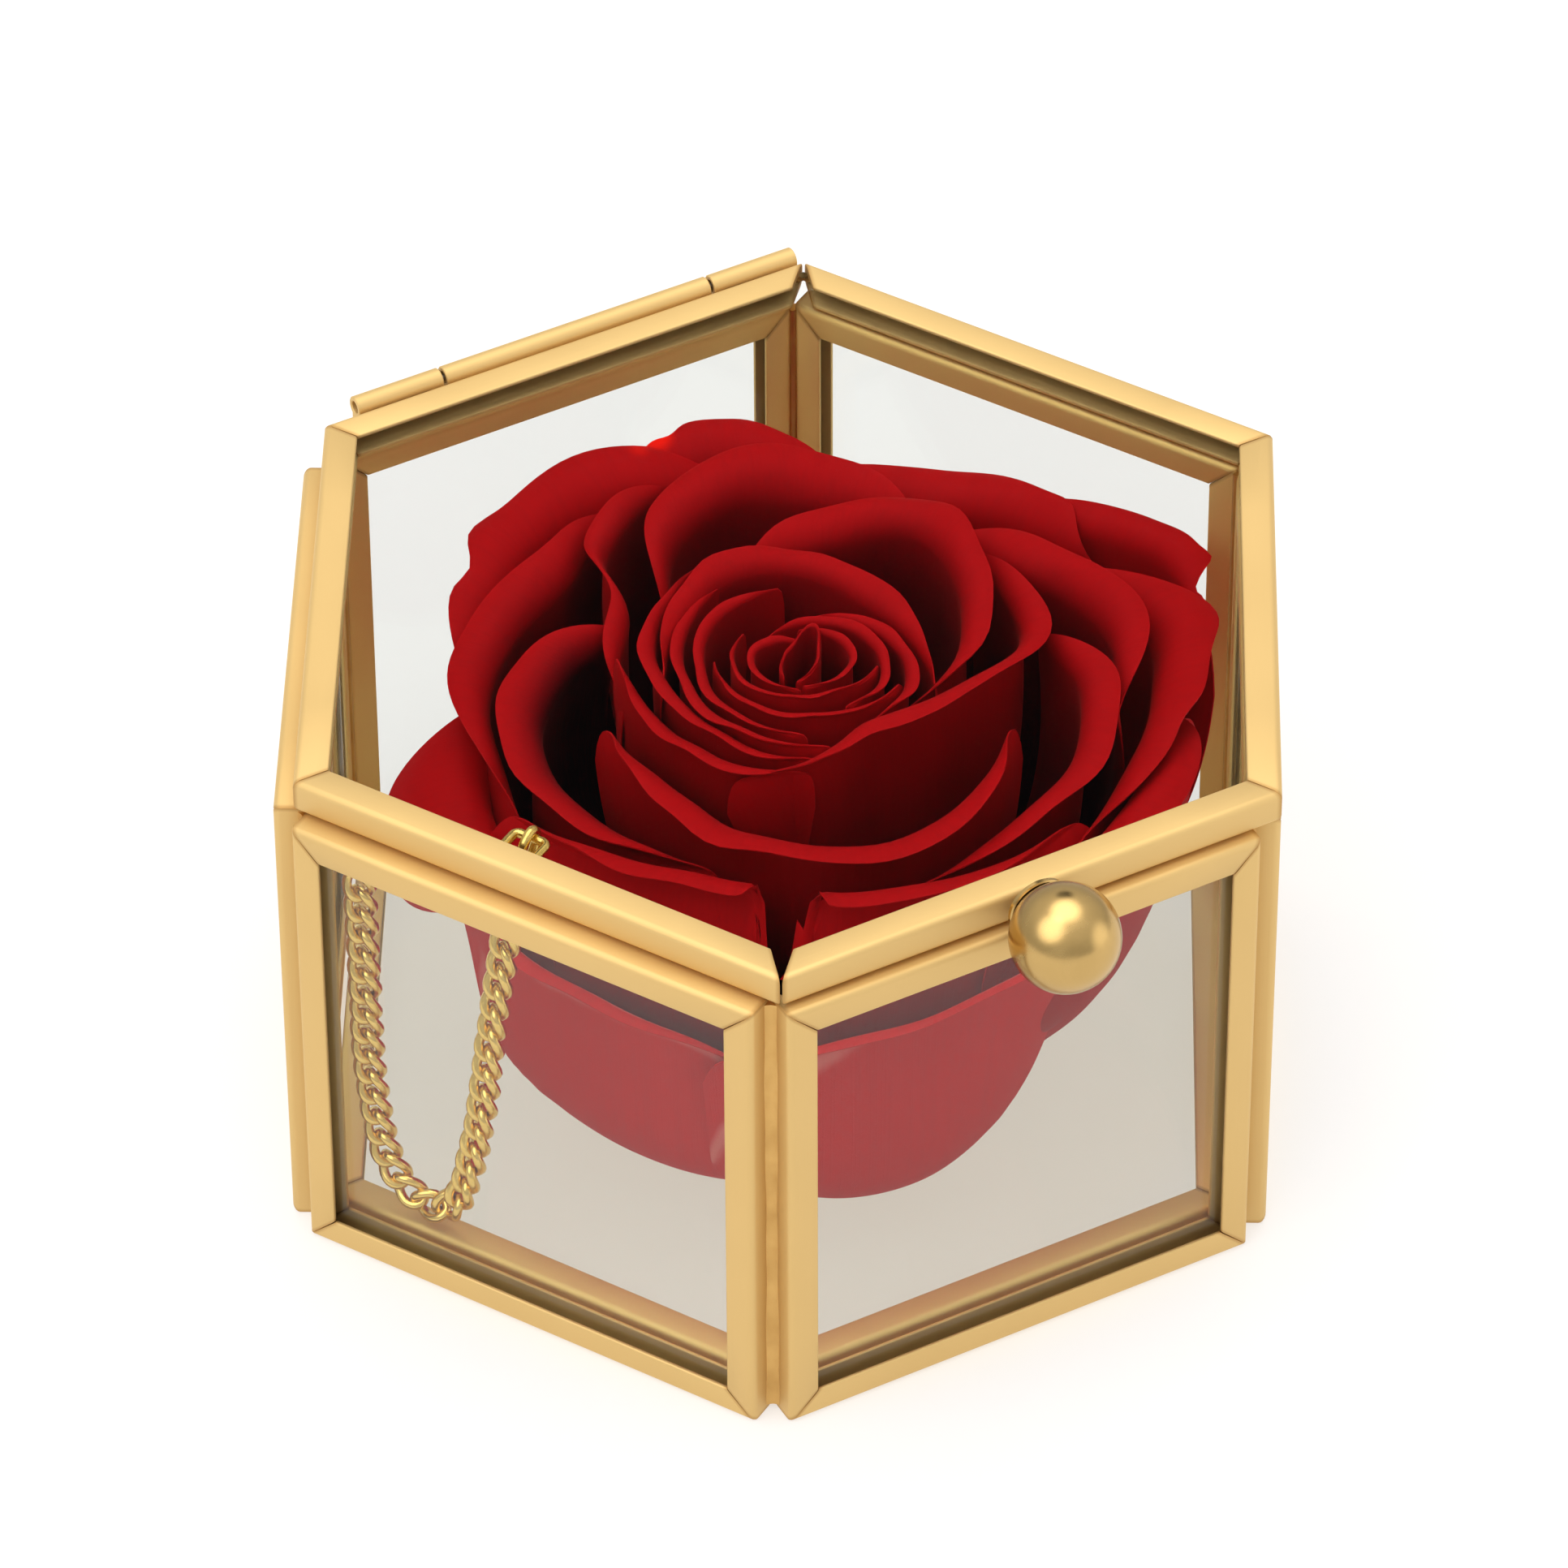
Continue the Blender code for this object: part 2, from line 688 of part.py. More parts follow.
def petal_normal(petal, across, row):
    """Out of the petal's back, whichever way round its rim is listed."""
    step = 0.01
    turn = 1 if unwound(petal[1])[-1] > petal[1][0] else -1
    left = petal_point(petal, max(-1, across - step), row)
    right = petal_point(petal, min(1, across + step), row)
    below = petal_point(petal, across, max(0, row - step))
    above = petal_point(petal, across, min(1, row + step))
    return (right - left).cross(above - below).normalized() * turn


def build_petal(name, petal, material, parent):
    """A thin closed shell: the inner face, the outer face and the edge between them."""
    columns = PETAL_COLUMNS + 1
    rows = PETAL_ROWS + 1
    spread = [-math.cos(math.pi * i / PETAL_COLUMNS) for i in range(columns)]
    spots = [(across, j / PETAL_ROWS) for across in spread for j in range(rows)]
    inner = [petal_point(petal, across, row) for across, row in spots]
    outer = [p + petal_normal(petal, across, row) * PETAL_THICKNESS for p, (across, row) in zip(inner, spots)]
    count = columns * rows
    faces = []
    for i in range(PETAL_COLUMNS):
        for j in range(PETAL_ROWS):
            a = i * rows + j
            faces.append((a, a + 1, a + rows + 1, a + rows))
            faces.append((count + a, count + a + rows, count + a + rows + 1, count + a + 1))
    edge = list(range(rows))
    edge += [i * rows + rows - 1 for i in range(1, columns)]
    edge += [(columns - 1) * rows + j for j in range(rows - 2, -1, -1)]
    edge += [i * rows for i in range(columns - 2, 0, -1)]
    for k, a in enumerate(edge):
        b = edge[(k + 1) % len(edge)]
        faces.append((a, b, count + b, count + a))
    return add_solid(f"petal_{name}", inner + outer, faces, material, parent, sharp=60)


def build_rose(parent, red, green):
    """The rose head, cut off under its receptacle and glued to the base pane."""
    def placed(a, b, along):
        return Vector((ROSE_CENTRE[0] + a, ROSE_CENTRE[1] + b, along))

    turned("rose_receptacle", RECEPTACLE, placed, RECEPTACLE_SEGMENTS, green, parent)
    for name, petal in PETALS.items():
        build_petal(name, petal, red, parent)


def build():
    clear_scene()
    gold = finish("gold plated brass", (0.78, 0.54, 0.22), 0.28, 1.0)
    glass = finish("clear glass", (0.95, 0.97, 0.96), 0.03, 0.0, 1.0)
    red = finish("velvet red petal", (0.42, 0.01, 0.02), 0.75, 0.0)
    green = finish("dried receptacle", (0.16, 0.14, 0.05), 0.8, 0.0)
    centre = add_empty("box_centre", BOX_CENTRE)
    bpy.context.view_layer.update()
    lid = add_empty("lid_axis", (0, HINGE_Y, HINGE_Z), centre)
    bpy.context.view_layer.update()
    build_panels(centre, gold, glass)
    build_base(centre, gold, glass)
    build_lid(lid, gold, glass)
    build_hinge(centre, lid, gold)
    build_knob(lid, gold)
    build_chain(centre, lid, gold)
    build_rose(centre, red, green)


build()
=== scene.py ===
import json
import math

import bmesh
import bpy
import numpy as np
from mathutils import Matrix, Vector

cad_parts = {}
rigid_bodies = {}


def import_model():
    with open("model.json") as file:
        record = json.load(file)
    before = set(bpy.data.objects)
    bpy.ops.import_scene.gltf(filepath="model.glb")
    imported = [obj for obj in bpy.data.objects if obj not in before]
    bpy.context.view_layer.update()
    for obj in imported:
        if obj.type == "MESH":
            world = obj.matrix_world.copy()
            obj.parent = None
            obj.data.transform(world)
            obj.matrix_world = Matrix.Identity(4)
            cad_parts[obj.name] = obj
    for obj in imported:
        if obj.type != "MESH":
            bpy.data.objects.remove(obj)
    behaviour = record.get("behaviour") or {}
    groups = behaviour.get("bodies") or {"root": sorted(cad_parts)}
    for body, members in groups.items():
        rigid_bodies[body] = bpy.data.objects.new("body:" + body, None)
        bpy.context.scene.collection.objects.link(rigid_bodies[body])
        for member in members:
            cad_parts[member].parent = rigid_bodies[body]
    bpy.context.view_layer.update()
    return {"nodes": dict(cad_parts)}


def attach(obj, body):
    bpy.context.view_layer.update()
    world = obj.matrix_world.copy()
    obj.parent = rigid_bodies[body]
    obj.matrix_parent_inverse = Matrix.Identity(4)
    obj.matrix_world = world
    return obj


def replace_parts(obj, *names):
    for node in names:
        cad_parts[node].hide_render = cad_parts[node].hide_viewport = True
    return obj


for leftover in list(bpy.data.objects):
    bpy.data.objects.remove(leftover, do_unlink=True)
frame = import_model()

# The box stands on a white board, lit from below, in a light tent: a cloth dome with three soft lamps behind
# it, and a black card where the lid would mirror the cloth. The camera looks down on the front corner from a
# long way off. Lengths are millimetres from the middle of the hexagon, as in the part's source.
MM = 0.001
HEXAGON_MIDDLE = Vector((-0.531, 3.838, 0.0))
CAMERA_AZIMUTH = math.radians(-28.612)
CAMERA_HEIGHT = math.radians(41.067)
CAMERA_ROLL = math.radians(-0.296)
CAMERA_AIM = Vector((2.82, 4.99, 24.0))
CAMERA_DISTANCE = 815.03
CAMERA_LENS = 223.93
SENSOR_WIDTH = 36.0
DOME_LOW = 0.60
DOME_RISE = 0.3
DOME_COLOUR = (1.0, 0.992, 0.98, 1)
# A lamp or card is told by its azimuth and elevation, the degrees it fills and the degrees where it ends.
LEFT_LAMP = (192, 50, 12, 34)
LEFT_LAMP_GLOW = 2.0
TOP_LAMP = (60, 82, 12, 34)
TOP_LAMP_GLOW = 2.4
RIGHT_LAMP = (322, 8, 6, 30)
RIGHT_LAMP_GLOW = 1.0
BLACK_CARD = (61.4, 41.0, 7, 13)
CARD_BLACKNESS = 0.97
BOARD_RADIUS = 1600.0
BOARD_CORNERS = 64
BOARD_DROP = 0.05
BOARD_GREY = (0.30, 0.30, 0.30, 1)
BOARD_PALE = (0.33, 0.33, 0.33, 1)
BOARD_GLOW = 0.67
PAINTED_GILT_GLOW = (1.0, 0.91, 0.77, 1)
OPEN_BOARD_TINT = (0.97, 0.94, 0.91, 1)
UNDER_BOX_REACH = 32.0
OPEN_BOARD_REACH = 48.0


def on_table(place):
    """A place told in millimetres from the hexagon's middle, as metres in the frame."""
    return (Vector(place) + HEXAGON_MIDDLE) * MM


def set_camera():
    """A long lens at the photograph's angle, with a very slight roll."""
    back = Vector((
        math.sin(CAMERA_AZIMUTH) * math.cos(CAMERA_HEIGHT),
        -math.cos(CAMERA_AZIMUTH) * math.cos(CAMERA_HEIGHT),
        math.sin(CAMERA_HEIGHT),
    ))
    level = Vector((math.cos(CAMERA_AZIMUTH), math.sin(CAMERA_AZIMUTH), 0))
    upright = back.cross(level)
    right = level * math.cos(CAMERA_ROLL) + upright * math.sin(CAMERA_ROLL)
    up = upright * math.cos(CAMERA_ROLL) - level * math.sin(CAMERA_ROLL)
    lens = bpy.data.cameras.new("photo_camera")
    lens.sensor_width = SENSOR_WIDTH
    lens.lens = CAMERA_LENS
    lens.clip_start = 0.05
    lens.clip_end = 20.0
    camera = bpy.data.objects.new("photo_camera", lens)
    facing = Matrix((right, up, back)).transposed().to_4x4()
    camera.matrix_world = Matrix.Translation(on_table(CAMERA_AIM + back * CAMERA_DISTANCE)) @ facing
    bpy.context.scene.collection.objects.link(camera)
    bpy.context.scene.camera = camera


class Signal:
    """A shader socket to reckon with: sums on it add Math nodes, and node() adds any other node."""

    def __init__(self, tree, socket=None):
        self.tree = tree
        self.socket = socket

    def node(self, kind, settings, sockets, output=0):
        """A node of this kind. Its settings are set first, then its sockets get their values or links."""
        made = self.tree.nodes.new("ShaderNode" + kind)
        for name, value in settings.items():
            setattr(made, name, value)
        for name, value in sockets.items():
            named = (found for found in made.inputs if found.name == name and found.enabled)
            socket = made.inputs[name] if isinstance(name, int) else next(named)
            if isinstance(value, Signal):
                self.tree.links.new(value.socket, socket)
            else:
                socket.default_value = value
        shown = [found for found in made.outputs if found.enabled]
        picked = shown[output] if isinstance(output, int) else made.outputs[output]
        return Signal(self.tree, picked)

    def reckon(self, operation, first, second=0.0):
        """A Math node on two values, either of them a Signal or a number."""
        made = self.tree.nodes.new("ShaderNodeMath")
        made.operation = operation
        for socket, value in zip(made.inputs, (first, second)):
            if isinstance(value, Signal):
                self.tree.links.new(value.socket, socket)
            else:
                socket.default_value = value
        return Signal(self.tree, made.outputs[0])

    def __add__(self, other):
        return self.reckon("ADD", self, other)

    __radd__ = __add__

    def __mul__(self, other):
        return self.reckon("MULTIPLY", self, other)

    __rmul__ = __mul__

    def __sub__(self, other):
        return self.reckon("SUBTRACT", self, other)

    def __rsub__(self, other):
        return self.reckon("SUBTRACT", other, self)

    def __abs__(self):
        return self.reckon("ABSOLUTE", self)

    def within(self, low, high):
        """0 where this is at low, 1 where it is at high, and smooth between."""
        return self.node(
            "MapRange",
            {"interpolation_type": "SMOOTHSTEP"},
            {"Value": self, "From Min": low, "From Max": high},
        )

    def tinted(self, first, second):
        """A colour that runs from first where this is 0 to second where it is 1."""
        return self.node("Mix", {"data_type": "RGBA"}, {"Factor": self, "A": first, "B": second})

    def part(self, axis):
        """One of the three parts of a place or a direction."""
        return self.node("SeparateXYZ", {}, {"Vector": self}, axis)

    def noise(self, scale, detail, **more):
        """Soft noise from 0 to 1 over this as a place."""
        return self.node("TexNoise", {}, {"Vector": self, "Scale": scale, "Detail": detail, **more})

    def bump(self, strength, depth):
        """A surface direction tilted by this as a height, where 1 stands for this many millimetres."""
        return self.node("Bump", {}, {"Height": self, "Strength": strength, "Distance": depth * MM})

    def feed(self, shader, name):
        """Links this to a socket of a shader."""
        self.tree.links.new(self.socket, shader.inputs[name])


def new_finish(name, **constants):
    """A Principled material with these constants, its shader, and the place on the piece as a Signal."""
    made = bpy.data.materials.new(name)
    made.use_nodes = True
    shader = made.node_tree.nodes["Principled BSDF"]
    for socket, value in constants.items():
        shader.inputs[socket.replace("_", " ")].default_value = value
    place = Signal(made.node_tree).node("TexCoord", {}, {}, "Object")
    return made, shader, place


def light_tent():
    """The cloth dome: dimmer low down, glowing round three lamps behind it, with a black card."""
    world = bpy.data.worlds.new("light_tent")
    bpy.context.scene.world = world
    world.use_nodes = True
    start = Signal(world.node_tree)
    direction = start.node("TexCoord", {}, {}, "Generated")

    def towards(azimuth, elevation, near, far):
        """1 within near degrees of a direction, 0 beyond far degrees of it."""
        turn, rise = math.radians(azimuth), math.radians(elevation)
        aim = (math.cos(turn) * math.cos(rise), math.sin(turn) * math.cos(rise), math.sin(rise))
        cosine = start.node(
            "VectorMath", {"operation": "DOT_PRODUCT"}, {0: direction, 1: aim}, "Value"
        )
        return cosine.within(math.cos(math.radians(far)), math.cos(math.radians(near)))

    height = direction.part("Z")
    uneven = direction.noise(2.2, 0.0)
    dome = DOME_LOW + (height + (uneven - 0.5) * 0.2).within(0.1, 0.8) * DOME_RISE
    lamps = (
        towards(*LEFT_LAMP) * LEFT_LAMP_GLOW
        + towards(*TOP_LAMP) * TOP_LAMP_GLOW
        + towards(*RIGHT_LAMP) * RIGHT_LAMP_GLOW
    )
    card = towards(*BLACK_CARD)
    level = (dome + lamps) * (1 - card * CARD_BLACKNESS)
    backdrop = world.node_tree.nodes["Background"]
    level.feed(backdrop, "Strength")
    backdrop.inputs["Color"].default_value = DOME_COLOUR


def lay_table():
    """A wide flat disc of matt white board, lit from below, with a painted warm glow under the box that
    stands in for light thrown off the gilt.
    """
    rim = []
    for k in range(BOARD_CORNERS):
        turn = 2 * math.pi * k / BOARD_CORNERS
        rim.append(Vector((BOARD_RADIUS * math.cos(turn), BOARD_RADIUS * math.sin(turn), -BOARD_DROP)) * MM)
    mesh = bpy.data.meshes.new("white_table")
    mesh.from_pydata(rim, [], [range(BOARD_CORNERS)])
    board, shader, place = new_finish(
        "white_board", Roughness=0.55, Specular_IOR_Level=0.3, Emission_Strength=BOARD_GLOW
    )
    grain = place.noise(30.0, 0.0)
    grain.tinted(BOARD_GREY, BOARD_PALE).feed(shader, "Base Color")
    away = place.node("VectorMath", {"operation": "DISTANCE"}, {0: place, 1: HEXAGON_MIDDLE * MM}, "Value")
    away = away.within(UNDER_BOX_REACH * MM, OPEN_BOARD_REACH * MM)
    # Painted reflection: near the box the board's glow turns warm, as if thrown off the gilt.
    away.tinted(PAINTED_GILT_GLOW, OPEN_BOARD_TINT).feed(shader, "Emission Color")
    board.cycles.emission_sampling = "NONE"
    mesh.materials.append(board)
    table = bpy.data.objects.new("white_table", mesh)
    bpy.context.scene.collection.objects.link(table)


set_camera()
light_tent()
lay_table()
bpy.context.scene.view_settings.view_transform = "Standard"

# Six side frames. Each is one U-shaped strip of brass folded round its pane and mitred at the four corners,
# gold plated and satin brushed along its length. The frames stand in a ring, soldered at the corners.
PANEL_APOTHEM = 40.4
PANEL_HALF_WIDTH = 21.6
PANEL_HEIGHT = 44.7
CAME_LIP = 2.6
CAME_DEPTH = 3.0
CAME_WALL = 0.4
CAME_ROUND = 0.6
CAME_HEM = 0.16
CAME_BEND = 0.22
MITRE_GAP = 0.05
# How far back from a mitre, and the share by which the section shrinks there.
MITRE_SOFT = ((0.0, 0.05), (0.03, 0.015), (0.10, 0.0))
STRIP_STATIONS = (0.2, 0.4, 0.6, 0.8)
STRIP_SPACING = 60.0
SATIN_DEEP = (0.68, 0.465, 0.180, 1)
SATIN_PALE = (0.76, 0.540, 0.230, 1)
INNER_HIGHLIGHT_GOLD = (0.98, 0.72, 0.26, 1)
SATIN_AGED = (0.42, 0.21, 0.05, 1)
SIDES = ("right_back", "hinge", "left_back", "left_front", "knob", "right_front")


def satin_gold():
    """Brushed gold plate: streaks along each strip, a painted highlight that makes the face looking into the
    box lighter, browner at the mitres.
    """
    gold, shader, place = new_finish("satin_gold", Metallic=0.75, IOR=1.5)
    strip = place.node("UVMap", {"uv_map": "strip"}, {})
    along = strip.part("X")
    across = strip.part("Y")
    ends = place.node("UVMap", {"uv_map": "ends"}, {})
    from_mitre = ends.part("X")
    # Painted highlight: the face that looks into the box is painted a lighter gold.
    inside = ends.part("Y").within(0.85, 0.98)
    brushed = place.node("CombineXYZ", {}, {"X": along * 0.07, "Y": across * 9.0, "Z": 0.0})
    streaks = brushed.noise(1.6, 4.0, Roughness=0.65)
    clouds = place.noise(120.0, 1.0)
    aged = (1 - from_mitre.within(0.0, 0.5)) * (0.55 + clouds * 0.5)
    worn = (clouds * 0.5 + streaks * 0.5).tinted(SATIN_DEEP, SATIN_PALE)
    plate = inside.tinted(worn, INNER_HIGHLIGHT_GOLD)
    (aged * 0.75).tinted(plate, SATIN_AGED).feed(shader, "Base Color")
    (0.50 + streaks * 0.14 + clouds * 0.06).feed(shader, "Roughness")
    streaks.bump(0.22, 0.06).feed(shader, "Normal")
    return gold


def rounded_profile(lip, depth):
    """The U of the strip, once round, as (inset from the outer edge, depth from the front)."""
    def turn(inset, along, radius, start, steps):
        angles = [math.radians(start - 90 * k / steps) for k in range(steps + 1)]
        return [(inset + radius * math.cos(a), along + radius * math.sin(a)) for a in angles]

    bend = CAME_BEND
    hem = CAME_HEM
    run = turn(CAME_WALL + bend, CAME_WALL + bend, -bend, 0, 2)[::-1]
    run += turn(lip - hem, CAME_WALL - hem, hem, 90, 2)
    run += turn(lip - hem, hem, hem, 0, 3)
    run += turn(CAME_ROUND, CAME_ROUND, CAME_ROUND, 270, 5)
    run += turn(CAME_ROUND, depth - CAME_ROUND, CAME_ROUND, 180, 5)
    run += turn(lip - hem, depth - hem, hem, 90, 3)
    run += turn(lip - hem, depth - CAME_WALL + hem, hem, 0, 2)
    run += turn(CAME_WALL + bend, depth - CAME_WALL - bend, -bend, -90, 2)[::-1]
    return run


def hexagon(apothem, shift=0.0):
    """Six corners, anticlockwise, the first one on +X."""
    radius = apothem / math.cos(math.radians(30))
    return [
        Vector((shift + radius * math.cos(math.radians(60 * k)), radius * math.sin(math.radians(60 * k))))
        for k in range(6)
    ]


def lying(height):
    """Lays a flat outline at this height, its depth upwards."""
    return lambda x, y, depth: Vector((x, y, height + depth))


def standing(turn):
    """Stands a flat outline on one side of the hexagon, its depth inwards."""
    angle = math.radians(30 + 60 * turn)
    out = Vector((math.cos(angle), math.sin(angle), 0))
    along = Vector((-math.sin(angle), math.cos(angle), 0))
    return lambda x, y, depth: out * (PANEL_APOTHEM - depth) + along * x + Vector((0, 0, y))


def add_piece(name, points, faces, finish, body, sharp=35, layers=None):
    """A mesh piece on its body, from places in millimetres. Layers are UV maps: two numbers for a point."""
    mesh = bpy.data.meshes.new(name)
    mesh.from_pydata([on_table(p) for p in points], [], faces)
    mesh.validate()
    for layer, values in (layers or {}).items():
        store = mesh.uv_layers.new(name=layer)
        corners = np.empty(len(mesh.loops), np.int32)
        mesh.loops.foreach_get("vertex_index", corners)
        store.data.foreach_set("uv", np.asarray(values, np.float32)[corners].ravel())
    shell = bmesh.new()
    shell.from_mesh(mesh)
    bmesh.ops.recalc_face_normals(shell, faces=shell.faces)
    shell.to_mesh(mesh)
    shell.free()
    mesh.shade_smooth()
    mesh.set_sharp_from_angle(angle=math.radians(sharp))
    mesh.materials.append(finish)
    piece = bpy.data.objects.new(name, mesh)
    bpy.context.scene.collection.objects.link(piece)
    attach(piece, body)
    return piece


def strip_stations(start, end, profile, slopes, place):
    """Rings of points along a straight strip, each with how far along it is and how far from a mitre."""
    along = (end - start).normalized()
    inward = Vector((-along.y, along.x))
    length = (end - start).length
    middle = (sum(s for s, d in profile) / len(profile), sum(d for s, d in profile) / len(profile))
    rings = []
    marks = [(0, back, shrink) for back, shrink in MITRE_SOFT]
    marks += [(share, 0.0, 0.0) for share in STRIP_STATIONS]
    marks += [(1, -back, shrink) for back, shrink in MITRE_SOFT[::-1]]
    for share, back, shrink in marks:
        ring = []
        for s, d in profile:
            first = slopes[0](s) + MITRE_GAP / 2
            last = length - slopes[1](s) - MITRE_GAP / 2
            reach = first + (last - first) * share + back
            s_in = s + (middle[0] - s) * shrink
            d_in = d + (middle[1] - d) * shrink
            spot = start + along * reach + inward * s_in
            ring.append((place(spot.x, spot.y, d_in), reach, min(reach - first, last - reach) + 0.001))
        rings.append(ring)
    return rings


def bent_strips(outline, closed, lip, depth, place, inside, cut=None):
    """Points, faces and UVs of a strip folded round an outline; inside is the depth of its inner face."""
    profile = rounded_profile(lip, depth)
    girth = [0.0]
    for (s0, d0), (s1, d1) in zip(profile, profile[1:]):
        girth.append(girth[-1] + math.hypot(s1 - s0, d1 - d0))
    count = len(outline)
    points, faces, strip_uv, end_uv = [], [], [], []
    for k in range(count if closed else count - 1):
        start, end = outline[k], outline[(k + 1) % count]
        slopes = []
        for here, other in ((k, (k - 1) % count), ((k + 1) % count, (k + 2) % count)):
            if not closed and here in (0, count - 1):
                slopes.append(cut)
                continue
            corner = outline[here]
            bend = (corner - outline[other]).angle(end - start if here == k else start - end)
            slopes.append(lambda s, rise=math.tan(bend / 2): s * rise)
        rings = strip_stations(start, end, profile, slopes, place)
        first = len(points)
        around = len(profile)
        for ring in rings:
            for m, (spot, reach, near) in enumerate(ring):
                points.append(spot)
                strip_uv.append((reach + STRIP_SPACING * k, girth[m]))
                # The second number marks the face that looks into the box, where the gold gets a painted
                # highlight.
                end_uv.append((near, 1 - abs(profile[m][1] - inside) / depth))
        for i in range(len(rings) - 1):
            for m in range(around):
                n = (m + 1) % around
                a, b = first + i * around, first + (i + 1) * around
                faces.append((a + m, a + n, b + n, b + m))
        faces.append(tuple(range(first + around - 1, first - 1, -1)))
        last = first + (len(rings) - 1) * around
        faces.append(tuple(range(last, last + around)))
    return points, faces, {"strip": strip_uv, "ends": end_uv}


satin = satin_gold()
pane_outline = [
    Vector((-PANEL_HALF_WIDTH, 0)),
    Vector((PANEL_HALF_WIDTH, 0)),
    Vector((PANEL_HALF_WIDTH, PANEL_HEIGHT)),
    Vector((-PANEL_HALF_WIDTH, PANEL_HEIGHT)),
]
for turn, side in enumerate(SIDES):
    points, faces, layers = bent_strips(
        pane_outline, True, CAME_LIP, CAME_DEPTH, standing(turn), inside=CAME_DEPTH
    )
    frame_piece = add_piece(f"{side}_frame", points, faces, satin, "box", layers=layers)
    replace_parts(frame_piece, f"came_{side}")

# Between two side frames the corner is filled from the inside with solder, then plated over. It lies deep in
# the groove between the rounded posts, slightly hollow and uneven along its height.
SOLDER_LOW = 0.5
SOLDER_HIGH = 44.3
SOLDER_STEPS = 40
SOLDER_FACE = 43.9
# Distance from the hexagon's middle and distance across the corner; what lies beyond the face swells.
SOLDER_SECTION = (
    (42.9, -0.12), (43.55, -0.55), (44.15, -0.80), (43.98, -0.35), (43.92, 0.0),
    (43.98, 0.35), (44.15, 0.80), (43.55, 0.55), (42.9, 0.12),
)
SOLDER_SEED = 40
SOLDER_SWELL = 0.05
SOLDER_RIPPLE = 0.035
SOLDER_BROWN = (0.46, 0.25, 0.07, 1)
SOLDER_GILT = (0.78, 0.50, 0.18, 1)


def solder_seam(turn):
    """One seam at a corner of the ring of frames, from the table to under the lid."""
    corner = math.radians(60 * turn)
    out = Vector((math.cos(corner), math.sin(corner), 0))
    side = Vector((-math.sin(corner), math.cos(corner), 0))
    chance = np.random.default_rng(SOLDER_SEED + turn)
    phases = chance.uniform(0, 2 * math.pi, 2)
    points = []
    for i in range(SOLDER_STEPS + 1):
        share = i / SOLDER_STEPS
        height = SOLDER_LOW + (SOLDER_HIGH - SOLDER_LOW) * share
        swell = SOLDER_SWELL * math.sin(9 * share + phases[0])
        swell += SOLDER_RIPPLE * math.sin(31 * share + phases[1])
        for radius, across in SOLDER_SECTION:
            fill = swell if radius > SOLDER_FACE else 0.0
            points.append(out * (radius + fill) + side * across + Vector((0, 0, height)))
    around = len(SOLDER_SECTION)
    faces = []
    for i in range(SOLDER_STEPS):
        for m in range(around):
            n = (m + 1) % around
            faces.append((i * around + m, i * around + n, (i + 1) * around + n, (i + 1) * around + m))
    faces.append(tuple(range(around - 1, -1, -1)))
    faces.append(tuple(range(len(points) - around, len(points))))
    return points, faces


def solder_gold():
    """Plated solder: duller and browner than the strips, with a fine cast grain."""
    gold, shader, place = new_finish("solder_gold", Metallic=1.0, IOR=1.5)
    grain = place.noise(1600.0, 4.0)
    clouds = place.noise(260.0, 2.0)
    clouds.tinted(SOLDER_BROWN, SOLDER_GILT).feed(shader, "Base Color")
    (0.34 + grain * 0.2).feed(shader, "Roughness")
    grain.bump(0.4, 0.1).feed(shader, "Normal")
    return gold


solder = solder_gold()
for turn in range(6):
    points, faces = solder_seam(turn)
    add_piece(f"solder_seam_{turn}", points, faces, solder, "box")

# The base frame lies inside the foot of the ring. It is folded from the same brass strip round a hexagonal
# pane, mitred at its six corners and soldered to the side frames from below.
BASE_APOTHEM = 36.9
BASE_THICKNESS = 2.9

points, faces, layers = bent_strips(
    hexagon(BASE_APOTHEM), True, CAME_LIP, BASE_THICKNESS, lying(0.0), inside=BASE_THICKNESS
)
base_frame = add_piece("base_frame", points, faces, satin, "box", layers=layers)
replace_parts(base_frame, "came_base")

# The lid's frame is two bent lengths of a slightly wider strip, each turned round two corners. Their cut
# ends spring back and leave a notch at the front and at the back corner.
LID_APOTHEM = 39.5
LID_THICKNESS = 3.0
LID_LIP = 2.8
LID_SHIFT = 1.0
LID_BOTTOM = 45.0
LID_NOTCH_SLOPE = 0.3
LID_NOTCH_GAP = 0.13


def notch_cut(inset):
    """How far a rail's cut end lies behind the hexagon's corner, at a distance in from its outer edge."""
    return LID_NOTCH_GAP + (math.tan(math.radians(30)) + LID_NOTCH_SLOPE) * inset


lid_corners = hexagon(LID_APOTHEM, LID_SHIFT)
rails = {
    "right": [lid_corners[k] for k in (4, 5, 0, 1)],
    "left": [lid_corners[k] for k in (1, 2, 3, 4)],
}
for side, corners in rails.items():
    points, faces, layers = bent_strips(
        corners, False, LID_LIP, LID_THICKNESS, lying(LID_BOTTOM), inside=0.0, cut=notch_cut
    )
    rail = add_piece(f"lid_frame_{side}", points, faces, satin, "lid", layers=layers)
    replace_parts(rail, f"lid_rail_{side}")

# Eight panes of clear float glass, bedded in the frames. They keep the shapes of the source; their glass has
# a faint green-grey body and a trace of handling on its surface.
GLASS_IOR = 1.31
GLASS_CLEAR = (0.918, 0.932, 0.926, 1)
GLASS_HANDLED = (0.903, 0.917, 0.911, 1)


def clear_glass():
    """Float glass: almost even, with wide faint patches where it was handled."""
    glass, shader, place = new_finish("clear_glass", Transmission_Weight=1.0, IOR=GLASS_IOR)
    handled = place.noise(45.0, 3.0)
    (handled.within(0.55, 0.80) * 0.03).feed(shader, "Roughness")
    handled.tinted(GLASS_CLEAR, GLASS_HANDLED).feed(shader, "Base Color")
    return glass


glass = clear_glass()
for side in (*(f"glass_{side}" for side in SIDES), "glass_base", "lid_glass"):
    pane = frame["nodes"][side]
    pane.data.materials.clear()
    pane.data.materials.append(glass)

